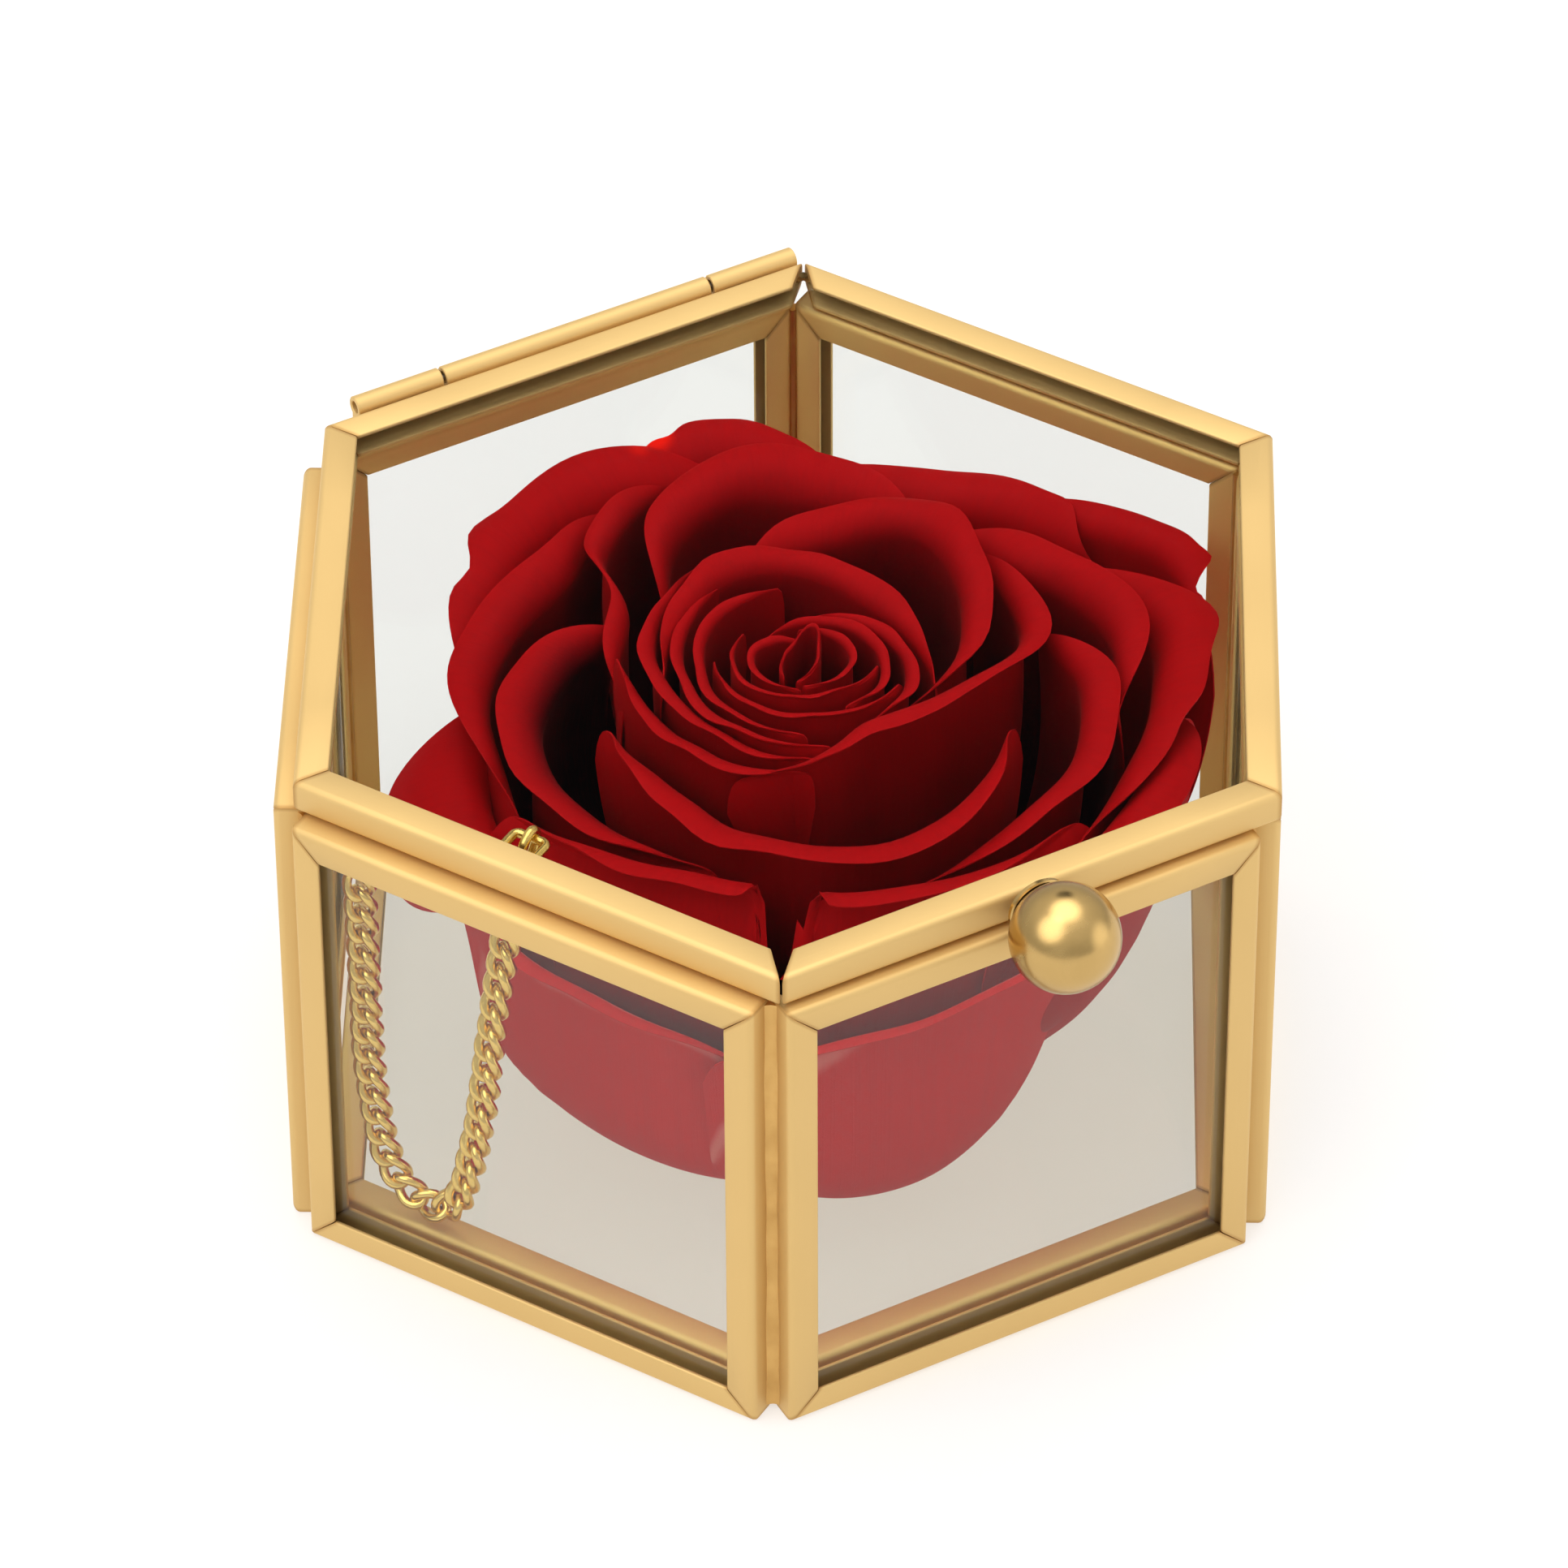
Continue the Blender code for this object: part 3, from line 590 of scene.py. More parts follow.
# The hinge is a brass tube cut in three on a thin steel pin. Its two ends have leaves soldered down the back
# frame and stay with the box; the long middle is soldered along the lid.
TUBE_RADIUS = 0.95
TUBE_BORE = 0.55
HINGE_GAP = 0.3
HINGE_Y = LID_APOTHEM + HINGE_GAP + TUBE_RADIUS
HINGE_Z = 47.5
# Where each length starts and ends along the tube.
TUBE_CUTS = {
    "hinge_knuckle_left": (-18.4, -10.4),
    "hinge_knuckle_lid": (-10.1, 15.1),
    "hinge_knuckle_right": (15.4, 23.4),
}
LEAF_NEAR = -0.05
LEAF_FAR = 0.45
LEAF_BOTTOM = -5.1
LEAF_CHAMFER = 0.1
TUBE_SEGMENTS = 48
RIM_SOFT = 0.08
FAR_FROM_MITRE = (5.0, 0.0)
STEEL_DARK = (0.38, 0.36, 0.33, 1)
STEEL_PALE = (0.60, 0.58, 0.54, 1)


def tube_length(start, end, leaf):
    """A length of tube with softened rims; the outline of a leafed one runs down and back up the leaf."""
    outline = []
    for k in range(TUBE_SEGMENTS):
        turn = 2 * math.pi * k / TUBE_SEGMENTS
        outline.append(Vector((math.cos(turn), math.sin(turn))) * TUBE_RADIUS)
    if leaf:
        near_top = -math.sqrt(TUBE_RADIUS ** 2 - LEAF_NEAR ** 2)
        far_top = -math.sqrt(TUBE_RADIUS ** 2 - LEAF_FAR ** 2)
        kept = [p for p in outline if not (LEAF_NEAR <= p.x <= LEAF_FAR and p.y < 0)]
        place = next(i for i, p in enumerate(kept) if p.y < 0 and p.x > LEAF_FAR)
        kept[place:place] = [
            Vector((LEAF_NEAR, near_top)),
            Vector((LEAF_NEAR, LEAF_BOTTOM + LEAF_CHAMFER)),
            Vector((LEAF_NEAR + LEAF_CHAMFER, LEAF_BOTTOM)),
            Vector((LEAF_FAR - LEAF_CHAMFER, LEAF_BOTTOM)),
            Vector((LEAF_FAR, LEAF_BOTTOM + LEAF_CHAMFER)),
            Vector((LEAF_FAR, far_top)),
        ]
        outline = kept
    points, uv = [], []
    girth = 0.0
    for k, edge in enumerate(outline):
        girth += (edge - outline[k - 1]).length if k else 0.0
        bore = edge.normalized() * TUBE_BORE
        edge_in = edge - edge.normalized() * RIM_SOFT
        bore_out = bore + bore.normalized() * RIM_SOFT
        section = [
            (start + RIM_SOFT, edge), (end - RIM_SOFT, edge), (end, edge_in), (end, bore_out),
            (end - RIM_SOFT, bore), (start + RIM_SOFT, bore), (start, bore_out), (start, edge_in),
        ]
        for x, spot in section:
            points.append(Vector((x, HINGE_Y + spot.x, HINGE_Z + spot.y)))
            uv.append((x, girth))
    around = len(section)
    faces = []
    for k in range(len(outline)):
        n = (k + 1) % len(outline)
        for m in range(around):
            p = (m + 1) % around
            faces.append((k * around + m, k * around + p, n * around + p, n * around + m))
    return points, faces, {"strip": uv, "ends": [FAR_FROM_MITRE] * len(points)}


for name, (start, end) in TUBE_CUTS.items():
    leafed = name != "hinge_knuckle_lid"
    body = "box" if leafed else "lid"
    points, faces, layers = tube_length(start, end, leafed)
    tube = add_piece(name.replace("knuckle", "tube"), points, faces, satin, body, layers=layers)
    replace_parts(tube, name)


def pin_steel():
    """The pin's cut end: grey steel with turning marks."""
    steel, shader, place = new_finish("pin_steel", Metallic=1.0, Roughness=0.35)
    marks = place.noise(2500.0, 2.0)
    marks.tinted(STEEL_DARK, STEEL_PALE).feed(shader, "Base Color")
    return steel


pin = frame["nodes"]["hinge_pin"]
pin.data.materials.clear()
pin.data.materials.append(pin_steel())

# The knob is a solid brass ball with a small flat, polished and plated. A turned collar with a thin neck
# holds it off the lid's edge.
KNOB_X = 0.7
KNOB_Z = 46.9
KNOB_RADIUS = 4.5
KNOB_REACH = 5.4
KNOB_FLAT = 1.8
KNOB_TIP_DEGREES = 6
BALL_BANDS = 56
BALL_SEGMENTS = 96
COLLAR_RADIUS = 2.7
COLLAR_SEGMENTS = 64
NECK_RADIUS = 1.3
COLLAR_PROFILE = (
    (NECK_RADIUS, 0.3), (NECK_RADIUS, 0.75), (NECK_RADIUS + 0.12, 0.95), (COLLAR_RADIUS - 0.2, 1.0),
    (COLLAR_RADIUS, 1.1), (COLLAR_RADIUS, 1.4), (COLLAR_RADIUS - 0.12, 1.5),
)
POLISHED_DEEP = (0.50, 0.33, 0.12, 1)
POLISHED_PALE = (0.58, 0.39, 0.15, 1)


def polished_gold():
    """Polished plate: almost a mirror, with fine rubbed hairlines and a few cloudy finger marks."""
    gold, shader, place = new_finish("polished_gold", Metallic=1.0, IOR=1.5)
    marks = place.noise(300.0, 5.0, Distortion=1.5)
    hairs = place.noise(3500.0, 2.0)
    marks.tinted(POLISHED_DEEP, POLISHED_PALE).feed(shader, "Base Color")
    (0.19 + marks.within(0.45, 0.75) * 0.08 + hairs * 0.06).feed(shader, "Roughness")
    hairs.bump(0.05, 0.03).feed(shader, "Normal")
    return gold


def turned_body(profile, segments, place):
    """A closed body of revolution, its profile given as (radius, distance along the axis)."""
    points = []
    for radius, along in profile:
        for k in range(segments):
            turn = 2 * math.pi * k / segments
            points.append(place(radius * math.cos(turn), radius * math.sin(turn), along))
    faces = [tuple(range(segments))]
    for i in range(len(profile) - 1):
        for k in range(segments):
            n = (k + 1) % segments
            a, b = i * segments, (i + 1) * segments
            faces.append((a + k, b + k, b + n, a + n))
    faces.append(tuple(range(len(points) - 1, len(points) - segments - 1, -1)))
    return points, faces


def on_lid_edge(a, b, along):
    """A place on the knob, told from the point where its axis meets the lid's edge."""
    return Vector((KNOB_X + a, -LID_APOTHEM - along, KNOB_Z + b))


polished = polished_gold()
first_turn = math.acos((KNOB_REACH - KNOB_FLAT) / KNOB_RADIUS)
last_turn = math.radians(180 - KNOB_TIP_DEGREES)
ball_turns = [first_turn + (last_turn - first_turn) * k / BALL_BANDS for k in range(BALL_BANDS + 1)]
ball_profile = [(KNOB_RADIUS * math.sin(t), KNOB_REACH - KNOB_RADIUS * math.cos(t)) for t in ball_turns]
points, faces = turned_body(ball_profile, BALL_SEGMENTS, on_lid_edge)
ball = add_piece("polished_ball", points, faces, polished, "lid")
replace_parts(ball, "knob_ball")
points, faces = turned_body(COLLAR_PROFILE, COLLAR_SEGMENTS, on_lid_edge)
collar = add_piece("turned_collar", points, faces, polished, "lid")
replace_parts(collar, "knob_collar")

# The stay chain that stops the lid is a fine curb chain of twisted oval brass links, plated after assembly.
# It hangs in a loop inside the left front pane, from a round wire ring in the box's frame to a rectangular
# wire loop under the lid.
CHAIN_ROUTE = (
    (-40.0, -2.6, 40.6), (-39.9, -2.7, 34.0), (-39.9, -2.8, 26.0), (-39.8, -2.9, 18.0),
    (-39.3, -3.6, 10.5), (-38.6, -4.8, 6.8), (-37.5, -6.6, 5.0), (-36.4, -8.5, 5.1),
    (-35.5, -10.1, 7.4), (-34.7, -11.1, 12.5), (-34.0, -11.8, 18.5), (-33.2, -12.1, 26.0),
    (-32.0, -12.4, 34.5), (-30.6, -12.6, 42.8),
)
ROUTE_STEPS = 120
HEADING_STEPS = 30
LINK_PITCH = 2.2
LINK_HALF_LENGTH = 1.52
LINK_HALF_WIDTH = 1.05
LINK_WIRE = 0.42
LINK_TWIST = math.radians(42)
LINK_LEAN_DEGREES = 12
LINK_SWAY_DEGREES = 7
CHAIN_SEED = 7
LINK_SEGMENTS = 26
WIRE_SIDES = 10
RING_SEGMENTS = 36
RING_RADIUS = 1.1
RING_WIRE = 0.4
RING_HANG = 0.3
LOOP_HALF_LENGTH = 2.5
LOOP_HALF_WIDTH = 1.5
LOOP_ROUND = 0.5
LOOP_BENDS = 8
LOOP_BACK = 1.0
LOOP_RISE = 1.3
END_LINK_IN = 0.9
END_LINK_RISE = 0.7
END_LINK_LONG = 1.5
END_LINK_WIDE = 1.0
END_LINK_LEAN = math.radians(35)
CHAIN_SHARP = 70
CHAIN_DEEP = (0.74, 0.49, 0.11, 1)
CHAIN_PALE = (0.88, 0.62, 0.20, 1)
UPWARDS = Vector((0, 0, 1))
ALONG_PANE = Vector((math.cos(math.radians(300)), math.sin(math.radians(300)), 0))
INTO_BOX = Vector((math.cos(math.radians(30)), math.sin(math.radians(30)), 0))


def wire_round(centres, radius):
    """A closed wire of round section along a closed run of points."""
    count = len(centres)
    middle = sum(centres, Vector()) / count
    points = []
    for k, here in enumerate(centres):
        heading = (centres[(k + 1) % count] - centres[k - 1]).normalized()
        spoke = here - middle
        out = (spoke - heading * spoke.dot(heading)).normalized()
        side = heading.cross(out)
        for m in range(WIRE_SIDES):
            bend = 2 * math.pi * m / WIRE_SIDES
            points.append(here + (out * math.cos(bend) + side * math.sin(bend)) * radius)
    faces = []
    for k in range(count):
        n = (k + 1) % count
        for m in range(WIRE_SIDES):
            p = (m + 1) % WIRE_SIDES
            a, b = k * WIRE_SIDES, n * WIRE_SIDES
            faces.append((a + m, a + p, b + p, b + m))
    return points, faces


def hanging_run():
    """Close places along the chain's middle line, and how far along each one is."""
    route = [Vector(p) for p in CHAIN_ROUTE]
    ends = [2 * route[0] - route[1], *route, 2 * route[-1] - route[-2]]
    run = []
    for a, b, c, d in zip(ends, ends[1:], ends[2:], ends[3:]):
        for k in range(ROUTE_STEPS):
            t = k / ROUTE_STEPS
            straight = 2 * b + (c - a) * t
            curved = (2 * a - 5 * b + 4 * c - d) * t * t
            run.append((straight + curved + (3 * b - a - 3 * c + d) * t ** 3) / 2)
    run.append(route[-1])
    reach = [0.0]
    for a, b in zip(run, run[1:]):
        reach.append(reach[-1] + (b - a).length)
    return run, reach


def chain_links():
    """The whole run of links as one mesh, each link twisted so that the chain lies flat."""
    run, reach = hanging_run()
    links = int((reach[-1] - LINK_HALF_LENGTH) / LINK_PITCH)
    spare = (reach[-1] - (links - 1) * LINK_PITCH) / 2
    chance = np.random.default_rng(CHAIN_SEED)
    points, faces = [], []
    for link in range(links):
        place = int(np.searchsorted(reach, spare + link * LINK_PITCH))
        here = run[place]
        ahead = run[min(place + HEADING_STEPS, len(run) - 1)]
        heading = (ahead - run[max(place - HEADING_STEPS, 0)]).normalized()
        thin = (INTO_BOX - heading * INTO_BOX.dot(heading)).normalized()
        across = heading.cross(thin)
        lean = math.radians(LINK_LEAN_DEGREES + chance.uniform(-LINK_SWAY_DEGREES, LINK_SWAY_DEGREES))
        wide = across * math.cos(lean) + thin * math.sin(lean)
        deep = thin * math.cos(lean) - across * math.sin(lean)
        centres = []
        for k in range(LINK_SEGMENTS):
            turn = 2 * math.pi * k / LINK_SEGMENTS
            twist = LINK_TWIST * math.cos(turn)
            reach_out = LINK_HALF_WIDTH * math.sin(turn)
            centres.append(
                here + heading * (LINK_HALF_LENGTH * math.cos(turn))
                + wide * (reach_out * math.cos(twist)) + deep * (reach_out * math.sin(twist))
            )
        ring, shells = wire_round(centres, LINK_WIRE)
        base = len(points)
        points += ring
        faces += [tuple(base + corner for corner in face) for face in shells]
    return points, faces


def chain_gold():
    """Tumbled plate with fine dents from the barrel."""
    gold, shader, place = new_finish("chain_gold", Metallic=1.0, IOR=1.5)
    dents = place.noise(1800.0, 3.0)
    dents.tinted(CHAIN_DEEP, CHAIN_PALE).feed(shader, "Base Color")
    (0.16 + dents * 0.14).feed(shader, "Roughness")
    dents.bump(0.25, 0.1).feed(shader, "Normal")
    return gold


def oval(middle, up, across, tall, wide):
    """Points round an oval, from its top."""
    turns = [2 * math.pi * k / RING_SEGMENTS for k in range(RING_SEGMENTS)]
    return [middle + up * (tall * math.cos(turn)) + across * (wide * math.sin(turn)) for turn in turns]


def chain_piece(name, body, points, faces):
    """A part of the chain in its gold."""
    return add_piece(name, points, faces, chain_finish, body, sharp=CHAIN_SHARP)


chain_finish = chain_gold()
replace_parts(chain_piece("curb_chain", "box", *chain_links()), "chain_run")

ring_middle = Vector(CHAIN_ROUTE[0]) + UPWARDS * (RING_RADIUS + RING_WIRE + RING_HANG)
ring_centres = oval(ring_middle, UPWARDS, ALONG_PANE, RING_RADIUS, RING_RADIUS)
wire_ring = chain_piece("box_wire_ring", "box", *wire_round(ring_centres, RING_WIRE))
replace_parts(wire_ring, "chain_ring_box")

loop_middle = Vector(CHAIN_ROUTE[-1]) - INTO_BOX * LOOP_BACK + UPWARDS * LOOP_RISE
loop_centres = []
for long_side, wide_side, turned_by in ((1, 1, 0), (-1, 1, 90), (-1, -1, 180), (1, -1, 270)):
    for k in range(LOOP_BENDS + 1):
        bend = math.radians(turned_by + 90 * k / LOOP_BENDS)
        reach_in = long_side * (LOOP_HALF_LENGTH - LOOP_ROUND) + LOOP_ROUND * math.cos(bend)
        reach_side = wide_side * (LOOP_HALF_WIDTH - LOOP_ROUND) + LOOP_ROUND * math.sin(bend)
        loop_centres.append(loop_middle + INTO_BOX * reach_in + ALONG_PANE * reach_side)
wire_loop = chain_piece("lid_wire_loop", "lid", *wire_round(loop_centres, RING_WIRE))
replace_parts(wire_loop, "chain_ring_lid")

end_middle = Vector(CHAIN_ROUTE[-1]) + INTO_BOX * END_LINK_IN + UPWARDS * END_LINK_RISE
end_up = UPWARDS * math.cos(END_LINK_LEAN) + INTO_BOX * math.sin(END_LINK_LEAN)
end_across = INTO_BOX * math.cos(END_LINK_LEAN) - UPWARDS * math.sin(END_LINK_LEAN)
end_centres = oval(end_middle, end_up, end_across, END_LINK_LONG, END_LINK_WIDE)
chain_piece("chain_end_link", "box", *wire_round(end_centres, LINK_WIRE))

# The rose is a full preserved head, cut off under its receptacle and glued to the base pane. The receptacle
# is the dried green-brown cone that the petals grow from.
ROSE_MIDDLE = (1.7, 0.2)
RECEPTACLE = (
    (6.2, 2.56), (6.8, 2.7), (7.2, 3.4), (7.1, 4.2), (6.0, 5.6), (4.8, 6.8), (3.6, 8.0), (2.4, 9.4),
    (1.6, 10.6), (0.9, 11.5), (0.5, 12.0),
)
RECEPTACLE_SEGMENTS = 60
SEPAL_BULGE = 0.05
GREEN_DEEP = (0.05, 0.04, 0.012, 1)
GREEN_PALE = (0.20, 0.17, 0.05, 1)


def dried_green():
    """Dried plant tissue: olive brown, darker in its furrows."""
    stalk, shader, place = new_finish("dried_green", Roughness=0.8)
    furrows = place.noise(900.0, 4.0)
    furrows.tinted(GREEN_DEEP, GREEN_PALE).feed(shader, "Base Color")
    furrows.bump(0.6, 0.3).feed(shader, "Normal")
    return stalk


def under_rose(a, b, along):
    """A place on the receptacle, which bulges a little under each of the five sepals it had."""
    bulge = 1 + SEPAL_BULGE * math.cos(5 * math.atan2(b, a))
    return Vector((ROSE_MIDDLE[0] + a * bulge, ROSE_MIDDLE[1] + b * bulge, along))


points, faces = turned_body(RECEPTACLE, RECEPTACLE_SEGMENTS, under_rose)
receptacle = add_piece("dried_receptacle", points, faces, dried_green(), "box")
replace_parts(receptacle, "rose_receptacle")

# Thirty-one petals, from the folded heart to the loose ones that lie lowest. Each is a thin velvety sheet
# that rises from its claw in a bowl, spreads, and turns its rim outwards. PETALS has the reach of that rim
# and, at five places from edge to edge, its azimuth, radius and height.
BLOOM_RADIUS = 36.0
# A bowl's curve: the claw's radius, the hips' share of the rim's radius, and the heights of claw, hips and
# chest, for a petal in the middle of the bloom and for one at its edge.
MIDDLE_LINE = (0.7, 0.55, 14.0, 18.5, 28.0)
BLOOM_LINE = (7.3, 0.75, 4.4, 2.2, 12.0)
# The lowest petals follow a rounder bowl, told by its radius at five places from edge to edge.
BELLY_LOW = (5.2, 0.0, 10.0)
BELLY_HIPS = 1.22
BELLY_CHEST = 1.447
BELLY_CHEST_IN = 11.5
BELLIES = {
    "under_left": (25.6, 25.2, 25.2, 25.2, 24.8),
    "outer_left": (22.5, 22.5, 22.5, 22.5, 22.5),
    "under_right": (25.8, 27.0, 26.6, 25.0, 23.2),
}
CHEST_OUT = 0.3
# Millimetres by which a chest stands further out, and by which a rim droops.
BULGES = {"guard_front": 9.0, "guard_left": 3.0, "shell_left": 2.0}
DROOPS = {"outer_left": 6.5, "outer_front_right": 1.5}
OUTER_RADIUS = 28
# The share of the painted shade, running from rim red down to hollow red, that a petal's face shows, and its
# back.
INNER_SHADE_DEPTH = 1.0
OUTER_SHADE_DEPTH = 0.35
SHADE_DEPTHS = {
    "guard_front": 0.7, "wing_right": 0.9, "shell_left": 2.2, "fold_left_outer": 1.3, "under_left": 0.2,
    "under_right": 0.2, "shell_front": 1.2,
}
BACK_SHADE_SHARE = 0.6
BACK_SHADE_MOST = 0.5
PETAL_BODY = 0.30
PETAL_RIM = 0.13
THIN_RIM_FROM = 0.80
THIN_SIDE_FROM = 0.85
EDGE_REACH = 0.40
EDGE_FALL = 0.5
EDGE_CROWDING = 0.35
LOW_NARROW = 0.28
LIP_EASE = 0.6
# Shares of a petal's height: where it has spread to its full width, and where its rim starts to turn out.
OPEN_BY = 0.75
ROLL_START = 0.66
ROLL_TURN = math.radians(108)
FLAT_FOOT = 0.125
WAVE_OUT = 0.38
WAVE_UP = 0.34
SMALL_RADIUS = 9
SMALL_GRID = (40, 30)
WIDE_GRID = (56, 40)
TORN_GRID = (150, 60)
PETAL_SHARP = 60
PETALS = {
    "heart_fold": (
        0.3, (150, 80, 30, 350, 270), (1.6, 1.5, 2.6, 1.8, 1.4), (40.6, 41.8, 43.0, 41.8, 40.4),
    ),
    "heart_left": (
        0.7, (222, 180, 145, 110, 64), (3.2, 4.0, 4.4, 3.6, 3.2), (40.4, 41.0, 41.4, 41.4, 40.8),
    ),
    "heart_right": (
        0.7, (44, 8, 335, 310, 270), (4.4, 4.6, 4.8, 4.2, 3.0), (41.2, 41.3, 41.2, 40.9, 40.4),
    ),
    "heart_front": (
        0.6, (130, 170, 215, 270, 310), (6.1, 5.6, 4.7, 4.6, 6.0), (40.8, 41.0, 40.8, 40.8, 40.8),
    ),
    "bud_right": (
        0.9, (292, 315, 340, 10, 70), (6.9, 7.6, 7.4, 6.6, 5.2), (40.4, 40.6, 41.0, 41.3, 41.2),
    ),
    "bud_front": (
        0.9, (160, 195, 230, 265, 300), (7.2, 6.6, 6.2, 6.6, 8.2), (40.4, 40.5, 40.2, 40.2, 40.4),
    ),
    "cup_left_inner": (
        1.0, (90, 125, 160, 195, 228), (9.2, 9.2, 8.6, 8.2, 8.0), (41.8, 41.4, 40.6, 40.2, 39.8),
    ),
    "cup_right": (
        1.1, (296, 315, 335, 355, 30), (9.3, 9.8, 9.6, 8.6, 7.0), (40.0, 40.4, 41.0, 41.2, 41.4),
    ),
    "cup_left": (
        1.2, (115, 145, 175, 205, 240), (11.2, 10.8, 10.0, 9.6, 9.4), (41.8, 41.2, 40.6, 40.2, 39.6),
    ),
    "cup_back": (
        2.2, (345, 25, 66, 105, 140), (12.0, 11.0, 12.4, 12.9, 12.6), (40.6, 42.2, 43.0, 42.8, 41.6),
    ),
    "fold_left": (
        1.5, (112, 142, 172, 205, 236), (14.4, 13.4, 11.6, 10.8, 10.4), (41.8, 41.2, 40.4, 39.6, 39.0),
    ),
    "wing_back": (
        3.4, (80, 52, 32, 10, 328), (15.2, 18.6, 21.8, 20.0, 13.8), (41.4, 42.4, 43.0, 42.4, 40.0),
    ),
    "fold_left_outer": (
        1.8, (152, 172, 195, 216, 236), (15.4, 13.9, 13.0, 12.5, 12.0), (39.6, 39.0, 39.0, 38.8, 38.6),
    ),
    "wing_right": (
        3.0, (240, 285, 322, 345, 8), (12.8, 11.2, 15.6, 21.6, 22.6), (39.6, 41.0, 40.6, 40.4, 40.6),
    ),
    "shell_front": (
        3.7, (178, 205, 238, 270, 302), (18.4, 18.2, 20.2, 21.4, 20.6), (38.0, 37.6, 37.0, 37.0, 38.0),
    ),
    "shell_back": (
        4.4, (102, 92, 75, 56, 36), (20.2, 24.6, 27.4, 25.2, 23.6), (38.8, 40.6, 42.0, 42.4, 41.6),
    ),
    "shell_left_tip": (
        2.4, (89, 99, 109, 116, 138), (28.0, 26.2, 24.2, 19.8, 17.2), (40.0, 40.8, 39.8, 38.4, 37.0),
    ),
    "shell_left": (
        3.8, (124, 138, 156, 180, 206), (21.4, 23.6, 25.0, 23.8, 21.8), (37.4, 37.2, 36.0, 34.8, 34.8),
    ),
    "shell_right": (
        3.2, (346, 332, 314, 296, 276), (24.2, 26.2, 26.2, 24.6, 23.6), (38.6, 39.2, 37.2, 35.6, 34.6),
    ),
    "guard_front": (
        3.0, (184, 207, 232, 262, 290), (25.8, 24.0, 24.0, 25.4, 26.6), (34.0, 35.4, 36.0, 36.0, 35.0),
    ),
    "guard_left": (
        3.4, (100, 114, 131, 146, 164), (29.6, 27.6, 28.6, 29.0, 27.4), (38.6, 39.0, 37.6, 36.0, 33.6),
    ),
    "guard_right": (
        3.6, (24, 8, 357, 346, 334), (24.2, 25.4, 28.4, 30.2, 29.0), (40.0, 41.0, 40.4, 39.3, 37.8),
    ),
    "outer_back_left": (
        5.2, (74, 88, 104, 120, 136), (30.4, 32.0, 34.2, 33.4, 31.6), (38.8, 40.6, 39.4, 37.6, 35.4),
    ),
    "outer_back": (
        4.8, (87, 79, 71, 62, 52), (33.6, 33.4, 31.8, 29.4, 26.8), (39.8, 40.6, 41.2, 40.6, 39.4),
    ),
    "outer_right": (
        4.6, (5, 350, 338, 326, 308), (32.0, 34.8, 33.8, 32.6, 30.4), (37.4, 38.0, 37.4, 36.6, 35.2),
    ),
    "outer_back_right": (
        4.6, (60, 49, 36, 24, 13), (30.2, 28.8, 28.8, 31.4, 32.8), (37.4, 39.4, 40.2, 40.0, 38.4),
    ),
    "outer_right_tip": (
        3.0, (24, 14, 6, 0, 353), (31.4, 33.8, 36.2, 38.0, 37.6), (37.6, 38.8, 39.0, 38.4, 36.2),
    ),
    "outer_front_right": (
        5.0, (332, 322, 310, 297, 284), (34.8, 34.0, 32.8, 31.4, 30.0), (33.0, 34.2, 34.0, 33.0, 31.5),
    ),
    "outer_left": (
        9.0, (146, 154, 164, 174, 184), (33.2, 34.4, 34.6, 33.8, 32.4), (29.6, 28.8, 28.0, 27.2, 26.4),
    ),
    "under_left": (
        2.0, (182, 195, 208, 221, 234), (30.4, 30.0, 29.4, 29.0, 28.8), (27.0, 26.6, 26.0, 24.6, 22.0),
    ),
    "under_right": (
        2.0, (236, 249, 262, 275, 288), (30.4, 30.8, 31.2, 31.4, 31.6), (25.4, 27.2, 28.2, 29.4, 30.6),
    ),
}
# Nicks in a rim: the place across the petal from -1 to 1, the half width, and the depth as a share of the
# petal's height; a nick of less than nothing is a small point.
NICKS = {
    "guard_front": (
        (0.02, 0.030, 0.30), (0.06, 0.035, 0.40), (0.10, 0.035, 0.40), (0.14, 0.018, 0.28),
        (0.045, 0.006, 0.05), (0.085, 0.006, -0.06), (0.125, 0.005, 0.07),
    ),
    "outer_back_left": ((-0.80, 0.05, 0.10), (0.22, 0.07, -0.05), (0.38, 0.07, 0.06)),
    "outer_back": ((-0.45, 0.10, 0.05), (0.1, 0.12, -0.04), (0.75, 0.10, -0.05)),
    "outer_back_right": ((-0.62, 0.07, 0.09), (0.2, 0.10, -0.02), (0.62, 0.10, -0.05)),
    "outer_right_tip": ((0.62, 0.06, 0.09), (0.46, 0.06, -0.07)),
    "outer_right": ((-0.30, 0.14, -0.04), (0.35, 0.10, 0.04)),
    "shell_left_tip": ((0.0, 0.12, -0.05),),
}


def smooth_run(values, u):
    """Smooth values at u from -1 to 1 through five evenly spread ones, running straight on past the ends."""
    values = np.asarray(values, float)
    place = (u + 1) * 2
    i = np.clip(np.floor(place).astype(int), 0, 3)
    f = place - i
    padded = np.concatenate([[2 * values[0] - values[1]], values, [2 * values[-1] - values[-2]]])
    before, a, b, after = padded[i], padded[i + 1], padded[i + 2], padded[i + 3]
    m, n = (b - before) / 2, (after - a) / 2
    g, h = f * f, f ** 3
    curve = (2 * h - 3 * g + 1) * a + (h - 2 * g + f) * m + (3 * g - 2 * h) * b + (h - g) * n
    return np.where((f < 0) | (f > 1), a + (b - a) * f, curve)


def bezier(ends, t):
    """The curve through the first and the last of four ends, drawn towards the two between."""
    a, b, c, d = ends
    s = 1 - t
    return a * s ** 3 + 3 * b * s * s * t + 3 * c * s * t * t + d * t ** 3


